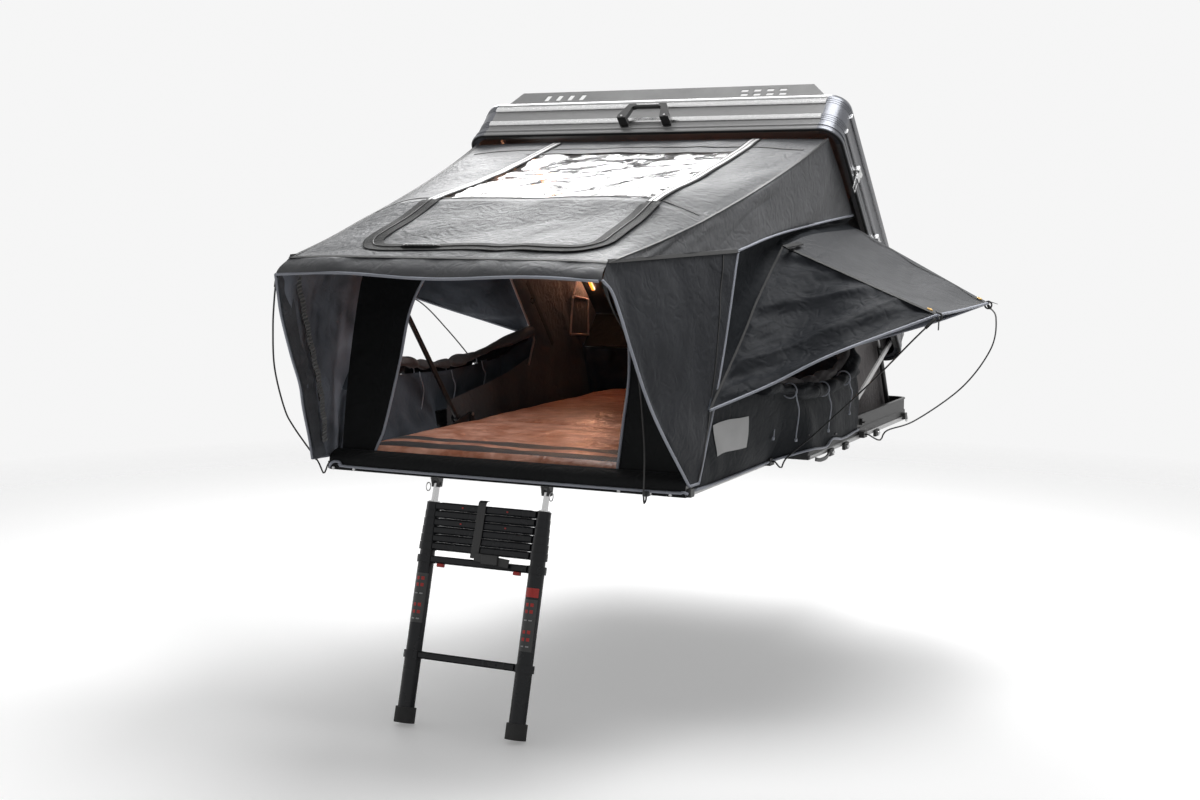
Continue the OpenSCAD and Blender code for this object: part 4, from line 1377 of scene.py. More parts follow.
    def cover_roll(self, spot: np.ndarray, normal: np.ndarray) -> None:
        """Ties the plain striped end roll on the zip strip.

        Args:
            spot: Its middle.
            normal: Direction out of the roof.
        """
        half = np.array([0.075, 0.0, 0.0])
        size = [0.004, 0.012, 0.013, 0.013, 0.013, 0.013, 0.013, 0.012, 0.004]
        path = curve([spot - half, spot, spot + half], len(size))
        roll = tube("cover_roll", path, size, BLACK_WEB, 12, 0.5)
        Motion.FRONT.carry(roll)
        for i in range(9):
            place = spot + np.array([-0.055 + 0.0137 * i, 0.0, 0.0])
            slash = np.array([place + (-0.004, -0.012, 0.003), place + (0.0, 0.0, 0.0072),
                              place + (0.004, 0.012, 0.006)])
            Motion.FRONT.carry(band(f"roll_stripe_{i}", slash, normal, 0.005, 0.0008, PALE_PATCH))

    def eave(self, ridge: np.ndarray) -> None:
        """Hangs the front flap from the ridge.

        Args:
            ridge: Points of the ridge.
        """
        half = np.where(ridge[:, 0] < 0, self.eave_left, self.eave_right)
        low = np.stack([ridge[:, 0] * half / self.ridge_half, np.full(len(ridge), self.eave_y),
                        np.full(len(ridge), self.eave_z)], axis=1)
        low[:, 2] -= 0.006 * np.cos(low[:, 0] * 9.0)
        low[:, 1] += 0.03 * np.clip(-low[:, 0] / self.eave_left, 0, 1) ** 2
        flap = ruled(ridge, low, 16)
        flap[:, :, 1] -= 0.014 * arch(16)[:, None]
        flap = Folds(0.008, 0.12, 0.2, 5, 0.12).apply(flap)
        self.panel("eave_flap", flap, LIT_HIP_CANVAS, Motion.FRONT, "hung", ["canopy_roof"])
        self.pipe("eave_piping", curve(low[::4], 60), Motion.FRONT)
        self.seam("ridge_seam", ridge + np.array([0, 0, 0.002]), (0.0, -0.4, 0.9), Motion.FRONT)


@dataclass
class Fly(ClothWork):
    """Side panels of the rain fly, one set on each side."""

    ridge: Point = (0.565, -1.88, 0.743)
    gusset: Point = (0.7, -1.172, 0.757)
    # Front edges from the eave to the floor and lower rear corners, right side first.
    fronts: tuple[tuple[Point, ...], ...] = (
        ((0.579, -1.942, 0.689), (0.585, -1.893, 0.655), (0.596, -1.857, 0.585),
         (0.612, -1.817, 0.48), (0.632, -1.75, 0.335), (0.652, -1.676, 0.215),
         (0.676, -1.515, 0.028)),
        ((0.602, -1.912, 0.686), (0.606, -1.895, 0.62), (0.615, -1.867, 0.545),
         (0.63, -1.799, 0.414), (0.645, -1.735, 0.312), (0.654, -1.705, 0.226),
         (0.666, -1.659, 0.121), (0.68, -1.624, 0.043)))
    feet: tuple[Point, ...] = ((0.684, -1.458, 0.03), (0.684, -1.45, 0.035))
    # Line of the gathered elastic inside the left wing.
    gather: tuple[Point, ...] = ((0.603, -1.815, 0.69), (0.622, -1.735, 0.5), (0.642, -1.65, 0.32),
                                 (0.654, -1.61, 0.2), (0.664, -1.588, 0.1))

    def build(self) -> None:
        """Builds both sides."""
        for (name, flip), front, foot in zip(FLIPS.items(), self.fronts, self.feet):
            self.side(name, flip, curve(front, 84), foot)
        self.left_inside(FLIPS["left"])

    def side(self, name: str, flip: np.ndarray, front: np.ndarray, foot: Point) -> None:
        """Sews one side.

        Args:
            name: Name of the side.
            flip: Factors that mirror the points.
            front: Front edge, from the eave to the floor.
            foot: Lower end of its rear edge.
        """
        count = len(front)
        rear = curve([self.gusset, (0.697, -1.3, 0.4), foot], count)
        t = np.linspace(0, 1, 76)[:, None, None]
        grid = front[None] * (1 - t) + rear[None] * t
        top = chain(curve([front[0], self.ridge], 5), curve([self.ridge, self.gusset], 72))
        fall = np.linspace(0, 1, count)[None, :, None]
        grid = grid + (top - grid[:, 0])[:, None, :] * (1 - fall) ** 3
        grid[:, :, 0] += (0.016 * np.sin(math.pi * t) * np.sin(math.pi * fall))[..., 0]
        grid = Folds(0.014, 0.26, 0.6, 31, 0.07).apply(grid)
        if flip[0] < 0:
            grid = Folds(0.013, 0.13, 1.0, 53, 0.07).apply(grid)
        low = Folds(0.008, 0.1, 0.9, 37, 0.07).apply(grid) * flip
        piece = self.panel(f"fly_wing_{name}", low, WING_CANVAS_LIT_INSIDE, Motion.WING, "stretched",
                           ["fold_frame", "front_bow"])
        self.pipe(f"fly_front_piping_{name}", front * flip, Motion.WING)
        self.pipe(f"fly_rear_piping_{name}", rear * flip, Motion.WING)
        hem = low[66, 1:-1] + np.array([0.0015, 0.0, 0.0]) * flip
        self.seam(f"fly_rear_hem_{name}", hem, np.array([1.0, 0.0, 0.1]) * flip, Motion.WING,
                  width=0.006)
        self.pipe(f"fly_foot_piping_{name}", curve([front[-1], foot], 6) * flip, Motion.WING)
        self.seam(f"fly_seam_{name}", (top[4:] + (0.002, 0, 0)) * flip,
                  np.array([0.9, 0, 0.4]) * flip, Motion.SIDE)
        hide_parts("fly_sides")
        self.upper(name, flip, top[4:])

    def left_inside(self, flip: np.ndarray) -> None:
        """Sews the gathered elastic and the loose hem inside the left wing.

        Args:
            flip: Factors that mirror the points.
        """
        path = curve(self.gather, 260) - np.array([0.014, 0.0, 0.0])
        wave = np.arange(260)
        wide = np.linspace(-0.013, 0.013, 8)[:, None]
        strip = path[None] + np.stack([0.0 * wide, wide, 0.25 * wide], axis=2)
        pleats = np.sin(wave * 1.15 + 0.8 * np.sin(wave * 0.21))[None]
        strip[:, :, 0] -= 0.0035 * pleats * np.cos(wide * 90)
        strip[:, :, 1] += 0.003 * np.sin(wave * 0.17)[None]
        self.panel("wing_elastic", strip * flip, CRINKLE, Motion.WING, "stretched", ["fold_frame"])
        hem = curve(self.fronts[1], 90) + np.array([-0.012, 0.03, 0.0])
        wave = np.arange(90)
        wide = np.linspace(-0.03, 0.03, 10)[:, None]
        fold = hem[None] + np.stack([0.0 * wide, wide, 0.2 * wide], axis=2)
        waves = np.sin(wave * 0.4 + 2 * np.sin(wave * 0.13))[None]
        fold[:, :, 0] -= 0.005 * waves * (wide + 0.03) / 0.06
        self.panel("wing_hem", fold * flip, FLY_CANVAS, Motion.WING, "hung", ["fold_frame"])
        tie = path[60:200] * flip * np.array([1.012, 1.0, 1.0])
        self.pipe("wing_tie", tie, Motion.WING, SEAM_TAPE)

    def upper(self, name: str, flip: np.ndarray, seam: np.ndarray) -> None:
        """Sews the panel between the hip seam and the side of the lid.

        Args:
            name: Name of the side.
            flip: Factors that mirror the points.
            seam: Seam that joins it to the front panel.
        """
        hip = Roof().hip()[::-1]
        side = curve([LID_AXES.at(0.74, LIP_ALONG, LIP_UP), LID_AXES.at(0.746, -1.08, -0.008),
                      LID_AXES.at(0.748, -0.885, -0.012)], 50)
        edge = curve([self.gusset, (0.718, -0.87, 0.803), (0.733, -0.5, 0.836), side[-1]], 45)
        low = chain(seam, edge)
        high = curve(hip, len(low))
        grid = ruled(high, low, 50)
        rows = np.linspace(0, 1, 50)[:, None]
        straight = hip[-1] * (1 - rows) + low[-1] * rows
        share = np.linspace(0, 1, len(low)) ** 4
        grid = grid + (side - straight)[:, None, :] * share[None, :, None]
        grid = Folds(0.012, 0.24, 0.9, 47, 0.06).apply(grid)
        grid = Folds(0.007, 0.1, 1.3, 43, 0.06).apply(grid) * flip
        self.panel(f"fly_hip_{name}", grid, LIT_HIP_CANVAS, Motion.SIDE, "stretched",
                   ["lid_frame", "front_bow"])
        self.pipe(f"fly_side_piping_{name}", edge * flip, Motion.SIDE)


@dataclass
class Awnings(ClothWork):
    """Window awnings with their sprung rods."""

    low_corner: Point = (0.7, -1.412, 0.258)
    seam_top: Point = (0.722, -0.8, 0.765)
    rear_top: Point = (0.772, -0.095, 0.815)
    rear_corner: Point = (0.706, 0.016, 0.35)
    front_tip: Point = (1.3, -0.93, 0.55)
    rear_tip: Point = (1.3, -0.186, 0.55)
    rod_r: float = 0.003
    rods_right: tuple[Point, ...] = (
        (0.541, -1.545, -0.0083), (0.541, -1.545, -0.013), (0.541, -1.545, -0.018),
        (0.541, -1.557, -0.028), (0.541, -1.564, -0.006), (0.549, -1.58, 0.175),
        (0.573, -1.7, 0.443), (0.577, -1.873, 0.605), (0.575, -1.925, 0.677))
    rods_left: tuple[Point, ...] = (
        (0.6853, -1.51, 0.008), (0.694, -1.51, 0.008), (0.692, -1.53, -0.014), (0.691, -1.545, -0.02),
        (0.692, -1.57, 0.02), (0.693, -1.6, 0.052), (0.699, -1.7, 0.16), (0.699, -1.75, 0.23),
        (0.69, -1.81, 0.37), (0.663, -1.85, 0.505), (0.628, -1.885, 0.61), (0.602, -1.905, 0.68))

    def build(self) -> None:
        """Builds both sides."""
        for name, flip in FLIPS.items():
            for make in (self.top, self.gusset, self.inset, self.tips, self.rods):
                make(name, flip)

    def wall_edge(self) -> np.ndarray:
        """Returns the gusset's edge on the wall, from its low corner to the seam."""
        return curve([self.low_corner, (0.705, -1.153, 0.461), (0.71, -1.011, 0.594),
                      self.seam_top], 80)

    def top_edge(self) -> np.ndarray:
        """Returns the top panel's edge on the wall, from the seam to the rear."""
        return curve([self.seam_top, (0.752, -0.608, 0.8), (0.766, -0.28, 0.812),
                      self.rear_top], 60)

    def top(self, name: str, flip: np.ndarray) -> None:
        """Sews the sloping top panel.

        Args:
            name: Name of the side.
            flip: Factors that mirror the points.
        """
        hem = curve([self.front_tip, (1.29, -0.56, 0.545), self.rear_tip], 60)
        grid = ruled(self.top_edge(), hem, 64)
        grid[:, :, 2] -= 0.02 * arch(64)[:, None] * arch(60)[None]
        grid = Folds(0.008, 0.2, 1.2, 53, 0.08).apply(grid)
        grid = Folds(0.004, 0.09, 1.4, 59, 0.08).apply(grid) * flip
        piece = self.panel(f"awning_top_{name}", grid, FLY_CANVAS, Motion.AWNING, "stretched",
                           ["fly_sides", "floor_rods", "base_rods"])
        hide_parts("awnings")
        self.pipe(f"awning_hem_{name}", hem * flip, Motion.AWNING)
        self.seam(f"awning_seam_{name}", grid[:, 0] + (0, 0, 0.002), (0.0, -0.5, 0.85),
                  Motion.AWNING, width=0.009)
        self.seam(f"awning_rear_hem_{name}", grid[1:-1, -4] + (0, 0, 0.0015), (0.2, 0.1, 0.95),
                  Motion.AWNING, width=0.005)
        tab = np.array([(0.748, -0.86, 0.762), (0.762, -0.8, 0.768), (0.768, -0.74, 0.772)])
        strap = band(f"awning_tab_{name}", tab * flip, np.array([0.3, -0.4, 0.86]) * flip,
                     0.02, 0.004, BLACK_WEB)
        Motion.AWNING.carry(strap)

    def fan(self, wall: np.ndarray, hem: np.ndarray, belly: Point, seed: int) -> np.ndarray:
        """Spreads a gusset between the wall and one outer corner.

        Args:
            wall: Edge on the wall, from the hem up.
            hem: Lower edge, from the wall to the outer corner.
            belly: How far its middle is blown in.
            seed: Seed of its folds.

        Returns:
            The gusset's grid.
        """
        far = np.linspace(0, 1, len(hem))[None, :, None]
        level = np.linspace(0, 1, len(wall))[:, None, None]
        grid = wall[:, None] * (1 - far) + hem[-1] * far
        grid = grid + (hem - grid[0])[None] * (1 - level) ** 2
        blown = np.sin(math.pi * np.minimum(1.0, far * 1.6)) ** 2
        grid = grid + np.array(belly) * np.sin(math.pi * level) * blown
        grid = Folds(0.02, 0.16, 1.25, seed, 0.05).apply(grid)
        return Folds(0.009, 0.07, 1.1, seed + 6, 0.05).apply(grid)

    def gusset(self, name: str, flip: np.ndarray) -> None:
        """Sews the front and rear gussets.

        Args:
            name: Name of the side.
            flip: Factors that mirror the points.
        """
        wall = self.wall_edge()
        hem = curve([self.low_corner, (0.85, -1.266, 0.333), (1.03, -1.17, 0.432),
                     self.front_tip], 90)
        front = self.fan(wall, hem, (-0.03, 0.04, 0.0), 61) * flip
        self.panel(f"awning_gusset_{name}", front, SHADED_GUSSET_CANVAS, Motion.AWNING, "hung",
                   ["fly_sides"])
        self.pipe(f"awning_piping_{name}", hem * flip, Motion.AWNING)
        self.seam(f"awning_wall_seam_{name}", (wall + (0.002, -0.002, 0)) * flip,
                  np.array([0.6, -0.8, 0.0]) * flip, Motion.AWNING, width=0.008)
        back = curve([self.rear_corner, (0.714, -0.06, 0.52), (0.742, -0.085, 0.68),
                      self.rear_top], 50)
        under = curve([self.rear_corner, (0.9, -0.03, 0.41), (1.1, -0.1, 0.475),
                       self.rear_tip], 60)
        rear = self.fan(back, under, (-0.02, -0.03, 0.0), 81) * flip
        self.panel(f"awning_rear_gusset_{name}", rear, SHADED_GUSSET_CANVAS, Motion.AWNING, "hung",
                   ["fly_sides"])
        self.pipe(f"awning_rear_piping_{name}", under * flip, Motion.AWNING)

    def inset(self, name: str, flip: np.ndarray) -> None:
        """Sews the dark cloth between the fly's edge and the awning.

        Args:
            name: Name of the side.
            flip: Factors that mirror the points.
        """
        inner = chain(self.wall_edge(), self.top_edge())
        outer = chain(curve([self.low_corner, (0.694, -1.29, 0.45), (0.7, -1.172, 0.757)], 30),
                      curve([(0.7, -1.172, 0.757), (0.718, -0.87, 0.803), (0.733, -0.5, 0.836),
                             (0.752, -0.08, 0.86)], len(inner) - 29))
        grid = ruled(outer, inner, 16)
        grid[:, :, 0] -= 0.03 * arch(16)[:, None]
        grid = Folds(0.008, 0.1, 0.8, 65, 0.08).apply(grid) * flip
        self.panel(f"awning_inset_{name}", grid, WALL_CANVAS, Motion.AWNING, "hung", ["fly_sides"])

    def tips(self, name: str, flip: np.ndarray) -> None:
        """Adds eyelets, clips and corner tabs to the awning's outer corners.

        Args:
            name: Name of the side.
            flip: Factors that mirror the points.
        """
        for spot, place, inward in (("front", self.front_tip, 0.02),
                                    ("rear", self.rear_tip, -0.02)):
            centre = (np.array(place) + (-0.028, inward, 0.017)) * flip
            eye = ring(f"eyelet_{spot}_{name}", tuple(centre), (0.4 * flip[0], 0.0, 0.9),
                       0.008, 0.003, BRASS)
            centre = (np.array(place) + (0.002, inward / 2, -0.006)) * flip
            loop = ring(f"tip_clip_{spot}_{name}", tuple(centre), (0.1, 1.0, 0.0), 0.013, 0.0032,
                        BLACK_MOULD)
            Motion.AWNING.carry(eye, loop)
        strap = np.array([(-0.006, 0.012, 0.012), (0.004, 0.012, -0.01), (0.002, 0.014, -0.05)])
        strap = np.array(self.front_tip) + strap
        hang = band(f"tip_strap_{name}", strap * flip, np.array([1.0, 0.0, 0.2]) * flip, 0.012,
                    0.002, BLACK_WEB)
        flap = np.array([(-0.02, -0.03, 0.0), (0.0, 0.0, 0.006), (0.03, 0.012, -0.004)])
        flap = np.array(self.rear_tip) + flap
        tab = band(f"tip_tab_{name}", flap * flip, (0.0, 0.0, 1.0), 0.02, 0.002, BLACK_WEB)
        Motion.AWNING.carry(hang, tab)

    def rods(self, name: str, flip: np.ndarray) -> None:
        """Bends the sprung rods of one side.

        Args:
            name: Name of the side.
            flip: Factors that mirror the points.
        """
        rear = curve([(0.8003, -0.028, 0.016), (0.81, -0.028, 0.016), (0.84, 0.034, -0.012),
                      (0.86, 0.06, 0.024), (0.95, 0.15, 0.06), (1.11, 0.24, 0.19), (1.23, 0.19, 0.35),
                      (1.28, 0.04, 0.48), (1.298, -0.178, 0.54)], 90) * flip
        near = curve([(0.6893, -0.788, 0.007), (0.699, -0.788, 0.007), (0.711, -0.756, -0.018),
                      (0.731, -0.75, 0.02), (0.849, -0.78, 0.12), (1.069, -0.85, 0.32),
                      (1.234, -0.964, 0.47), (1.3, -0.942, 0.54)], 80) * flip
        front = curve(self.rods_right if flip[0] > 0 else self.rods_left, 90) * flip
        for part, path, motion, node in (("rear", rear, Motion.AWNING, "base_rods"),
                                         ("side", near, Motion.AWNING, "floor_rods"),
                                         ("front", front, Motion.WING, "floor_rods")):
            piece = tube(f"rod_{part}_{name}", path, self.rod_r, BLACK_COAT, sides=8)
            tip = tube(f"rod_tip_{part}_{name}", path[-5:], 0.0052, RUBBER, sides=10)
            motion.carry(piece, tip)
            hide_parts(node)


@dataclass
class Walls(ClothWork):
    """Cloth walls, rolled window covers and the door wall."""

    fold_front: float = -1.49
    inner_x: float = 0.7012
    roll_r: float = 0.03
    roll_end_r: float = 0.008
    roll_axis: tuple[float, float] = (0.78, 0.27)
    # Where the rolls are tied: as shares of their length, and in Y.
    ties: tuple[float, ...] = (0.2, 0.46, 0.68)
    tie_y: tuple[float, ...] = (-0.845, -0.56, -0.32)
    # Y at which a roll passes from the fold-out floor to the base.
    break_y: float = -0.69
    cord_d: float = 0.0048
    door_lean: float = math.radians(7.7)

    def build(self) -> None:
        """Builds all the walls."""
        for name, flip in FLIPS.items():
            for make in (self.front_side, self.middle_side, self.inner_side, self.roll):
                make(name, flip)
        self.rear()
        self.door()
        self.sill()

    def front_side(self, name: str, flip: np.ndarray) -> None:
        """Sews the low wall on the fold-out floor, with a blank patch on the right.

        Args:
            name: Name of the side.
            flip: Factors that mirror the points.
        """
        low = curve([(0.671, -1.475, 0.012), (0.673, -1.39, 0.009), (0.675, -1.1, 0.008),
                     (0.679, -0.775, 0.01)], 40)
        high = curve([(0.672, -1.46, 0.07), (0.684, -1.39, 0.26), (0.716, -1.1, 0.275),
                      (0.744, -0.775, 0.262)], 40)
        grid = ruled(low, high, 28)
        swell = arch(28)[:, None] * np.linspace(0, 1, 40)[None] ** 0.5
        grid[:, :, 0] += 0.013 * swell
        grid = Folds(0.01, 0.2, 0.25, 71, 0.06).apply(grid)
        grid = Folds(0.005, 0.08, 0.6, 75, 0.06).apply(grid) * flip
        piece = self.panel(f"side_wall_front_{name}", grid, WALL_CANVAS, Motion.FLOOR_WALL, "hung",
                           ["fold_frame"])
        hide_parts("side_walls")
        self.pipe(f"side_wall_piping_{name}", (low + (0.004, 0, -0.002)) * flip, Motion.FLOOR)
        if name == "right":
            patch = grid[9:21, 11:24] + np.array([0.003, -0.001, 0.0])
            self.panel("side_patch", patch, PALE_PATCH, Motion.FLOOR_WALL, "stretched",
                       ["fold_frame"])

    def middle_side(self, name: str, flip: np.ndarray) -> None:
        """Sews the low wall on the base and its step inside the lift arm.

        Args:
            name: Name of the side.
            flip: Factors that mirror the points.
        """
        low = curve([(0.677, -0.79, 0.01), (0.73, -0.72, 0.026), (0.783, -0.64, 0.04),
                     (0.786, -0.5, 0.03), (0.787, -0.42, 0.05), (0.786, -0.3, 0.036),
                     (0.786, -0.16, 0.042), (0.785, -0.095, 0.045)], 50)
        high = curve([(0.742, -0.79, 0.262), (0.75, -0.7, 0.256), (0.757, -0.6, 0.252),
                      (0.765, -0.3, 0.262), (0.766, -0.09, 0.312)], 50)
        grid = ruled(low, high, 28)
        grid[:, :, 0] += 0.013 * arch(28)[:, None]
        grid = Folds(0.011, 0.2, 0.3, 73, 0.06).apply(grid)
        grid = Folds(0.005, 0.08, 0.7, 77, 0.06).apply(grid)
        outer = grid[11:, -2]
        grid = grid * flip
        self.panel(f"side_wall_middle_{name}", grid, WALL_CANVAS, Motion.WALL, "hung",
                   ["base_side_rails"])
        self.pipe(f"base_wall_piping_{name}", (low + (0.005, 0, -0.002)) * flip, Motion.WALL)
        inner = curve([(0.7045, -0.01, 0.15), (0.7045, 0.03, 0.23), (0.7045, 0.055, 0.375)],
                      len(outer))
        step = Folds(0.004, 0.06, 0.2, 85, 0.1).apply(ruled(outer, inner, 12)) * flip
        self.panel(f"side_wall_step_{name}", step, WALL_CANVAS, Motion.WALL, "hung",
                   ["base_side_rails"])
        low = curve([(0.7035, -0.69, 0.034), (0.7035, -0.25, 0.034), (0.7035, -0.03, 0.034)], 30)
        high = curve([(0.7035, -0.69, 0.14), (0.7035, -0.25, 0.2), (0.7035, 0.0, 0.26)], 30)
        flap = Folds(0.004, 0.1, 0.2, 87, 0.1).apply(ruled(low, high, 14)) * flip
        self.panel(f"side_wall_flap_{name}", flap, LINING, Motion.WALL, "hung", ["base_floor"])

    def inner_side(self, name: str, flip: np.ndarray) -> None:
        """Sews the wall panel inside the lift arm, up into the lid.

        Args:
            name: Name of the side.
            flip: Factors that mirror the points.
        """
        x = self.inner_x
        low = curve([(x, -0.058, 0.034), (x, 0.28, 0.034), (x, 0.63, 0.034)], 44)
        high = curve([(x, -0.355, 0.842), LID_AXES.at(x, -0.881, 0.01), LID_AXES.at(x, -0.8, 0.178),
                      LID_AXES.at(x, -0.4, 0.178), LID_AXES.at(x, -0.038, 0.176)], 44)
        front = curve([(x, -0.058, 0.034), (x, -0.048, 0.15), (x, 0.018, 0.3), (x, 0.025, 0.348),
                       (x, -0.16, 0.588), (x, -0.355, 0.842)], 40)
        rear = curve([(x, 0.63, 0.034), (x, 0.629, 0.06), LID_AXES.at(x, -0.023, -0.027),
                      LID_AXES.at(x, -0.037, 0.02), LID_AXES.at(x, -0.038, 0.176)], 40)
        grid = coons(low, high, front, rear)
        grid = Folds(0.007, 0.18, 0.3, 79, 0.05).apply(grid) * flip
        self.panel(f"side_wall_inner_{name}", grid, LINING, Motion.WALL, "hung", ["base_floor"])
        edge = (front[8:] + (-0.003, -0.002, 0)) * flip
        self.pipe(f"window_rear_piping_{name}", edge, Motion.WALL, ROSE_PIPING)
        strap = curve([(x - 0.004, -0.031, 0.583), (x - 0.005, 0.09, 0.44),
                       (x - 0.004, 0.208, 0.299)], 16)
        self.seam(f"wall_strap_{name}", strap * flip, np.array([-1.0, 0, 0]) * flip, Motion.WALL,
                  SEAM_TAPE, 0.022)
        hook = ring(f"wall_hook_{name}", tuple(np.array((x - 0.012, 0.005, 0.5)) * flip),
                    (0.2, 1.0, 0.0), 0.011, 0.0022, BLACK_MOULD)
        Motion.WALL.carry(hook)

    def roll(self, name: str, flip: np.ndarray) -> None:
        """Rolls the window cover down onto the wall and ties it.

        Args:
            name: Name of the side.
            flip: Factors that mirror the points.
        """
        path = curve([(0.74, -1.06, 0.3), (0.757, -0.95, 0.29), (0.776, -0.84, 0.268),
                      (0.797, -0.62, 0.25), (0.803, -0.4, 0.258), (0.79, -0.22, 0.285),
                      (0.752, -0.07, 0.325), (0.716, 0.005, 0.345)], 90)
        split = int(np.argmax(path[:, 1] > self.break_y))
        runs = (("front", path[:split + 1], Motion.FLOOR_WALL), ("base", path[split:], Motion.WALL))
        layers = (("cover", (0.0, 0.0, 0.0), 1.0, WALL_CANVAS, 91),
                  ("lining", (-0.034, 0.0, 0.03), 0.75, LINING, 93))
        for run, points, motion in runs:
            for part, shift, scale, finish, seed in layers:
                piece = self.roll_run(f"window_roll_{part}_{run}_{name}", points + shift, scale,
                                      finish, seed, flip)
                motion.carry(piece)
                if part == "cover" and motion is Motion.WALL:
                    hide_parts("window_rolls")
        for i, tie in enumerate(self.ties):
            centre = path[int(tie * (len(path) - 1))]
            self.tie(f"{i}_{name}", centre, flip, 0.15 - 0.02 * i)

    def roll_run(self, name: str, path: np.ndarray, scale: float, finish: Finish, seed: int,
                 flip: np.ndarray) -> bpy.types.Object:
        """Rolls up one run of cloth.

        Args:
            name: Name of the piece.
            path: Middle line of the roll.
            scale: Thickness against the full roll.
            finish: Face of the cloth.
            seed: Seed of its lumps.
            flip: Factors that mirror the points.

        Returns:
            The new object.
        """
        y = path[:, 1]
        size = self.roll_r * scale * (0.78 + 0.3 * np.sin(y * 7.0 + seed) ** 2
                                      + 0.2 * smooth_noise(y * 10, y * 0, seed))
        for tie in self.tie_y:
            size = size * (1 - 0.4 * np.exp(-((y - tie) / 0.025) ** 2))
        size[0 if y[0] < self.break_y - 0.1 else -1] = self.roll_end_r
        piece = tube(name, path * flip, size, finish, 32, 0.8)
        points = np.array([v.co for v in piece.data.vertices])
        x, z = self.roll_axis
        spiral = np.arctan2(points[:, 2] - z, np.abs(points[:, 0]) - x)
        wave = np.sin(3 * spiral + points[:, 1] * 22) + 0.6 * np.sin(7 * spiral - points[:, 1] * 41)
        points += 0.004 * scale * wave[:, None] * np.array([flip[0], 0, 0.6])
        piece.data.vertices.foreach_set("co", points.astype(np.float32).ravel())
        return piece

    def tie(self, name: str, centre: np.ndarray, flip: np.ndarray, drop: float) -> None:
        """Ties the roll with a loop whose cord hangs down.

        Args:
            name: End of the pieces' names.
            centre: Middle of the roll there.
            flip: Factors that mirror the points.
            drop: How far the cord hangs.
        """
        loop = ring(f"roll_tie_{name}", tuple(centre * flip), (0.0, 1.0, 0.0), 0.026, 0.0026, PIPING)
        motion = Motion.FLOOR_WALL if centre[1] < self.break_y else Motion.WALL
        motion.carry(loop)
        for part, out, reach in (("out", 1.0, 0.021), ("in", -1.0, 0.05)):
            marks = ((0.0, 0.0, 0.0), (0.005, 0.002, -0.03), (0.009, 0.014, -0.5 * drop),
                     (0.005, 0.0, -drop), (0.006, -0.006, -drop - 0.02))
            path = curve([centre + (out * (reach + x), y, z) for x, y, z in marks], 24) * flip
            tail = tube(f"roll_cord_{part}_{name}", path, self.cord_d / 2, PIPING, 8)
            knot = block(f"roll_knot_{part}_{name}", tuple(path[-1]), (0.009, 0.009, 0.012), PIPING,
                         0.003)
            motion.carry(tail, knot)

    def rear(self) -> None:
        """Hangs the rear wall between base and lid."""
        x = np.linspace(-0.699, 0.699, 60)
        low = np.array([(v, 0.6495, 0.06) for v in x])
        high = np.array([LID_AXES.at(v, -0.012, -0.01) for v in x])
        grid = Folds(0.008, 0.16, 0.1, 83, 0.08).apply(ruled(low, high, 26))
        end = curve([(0.6965, 0.58, 0.04), LID_AXES.at(0.6965, -0.075, -0.02)], 26)[:, None]
        grid = np.concatenate([end * (-1, 1, 1), grid, end], axis=1)
        piece = self.panel("rear_wall_cloth", grid, WALL_CANVAS, Motion.WALL, "hung",
                           ["base_rear_rail", "lid_frame"])
        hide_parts("rear_wall")
        low = np.array([LID_AXES.at(v, -0.0405, -0.022) for v in x])
        high = np.array([LID_AXES.at(v, -0.0405, 0.172) for v in x])
        lining = Folds(0.006, 0.14, 0.1, 89, 0.08).apply(ruled(low, high, 26))
        self.panel("lid_lining", lining, DARK_CANVAS, Motion.LID, "stretched", ["lid_frame"])

    def door_point(self, x: float, z: float) -> Point:
        """Puts a point of the door wall on its leaning plane."""
        return (x, self.fold_front + 0.008 + math.tan(self.door_lean) * (z - 0.03), z)

    def door(self) -> None:
        """Hangs the inner front wall with its open door."""
        edges = {"left": [(-0.524, 0.04), (-0.505, 0.09), (-0.485, 0.143), (-0.44, 0.362),
                          (-0.412, 0.537), (-0.362, 0.652), (-0.3, 0.71)],
                 "right": [(0.408, 0.04), (0.42, 0.2), (0.431, 0.383), (0.402, 0.606), (0.34, 0.71)]}
        outer = [(0.655, 0.035), (0.652, 0.25), (0.64, 0.45), (0.615, 0.66), (0.575, 0.78)]
        for name, sign in SIDES.items():
            inner = curve([self.door_point(*p) for p in edges[name]], 44)
            border = curve([self.door_point(sign * x, z) for x, z in outer], 44)
            grid = ruled(border, inner, 18)
            grid[:, :, 1] += 0.012 * arch(18)[:, None]
            grid = Folds(0.008, 0.1, 0.05, 97, 0.08).apply(grid)
            piece = self.panel(f"door_wall_{name}", grid, DARK_CANVAS, Motion.FLOOR_WALL, "hung",
                               ["fold_frame", "front_bow"])
            self.pipe(f"door_piping_{name}", inner + (0, -0.002, 0), Motion.FLOOR_WALL)
            if sign > 0:
                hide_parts("front_wall")
        top = ruled(curve([self.door_point(-0.575, 0.78), self.door_point(0.575, 0.78)], 40),
                    curve([self.door_point(-0.3, 0.71), self.door_point(0.34, 0.71)], 40), 8)
        self.panel("door_wall_top", top, DARK_CANVAS, Motion.FLOOR_WALL, "hung", ["front_bow"])

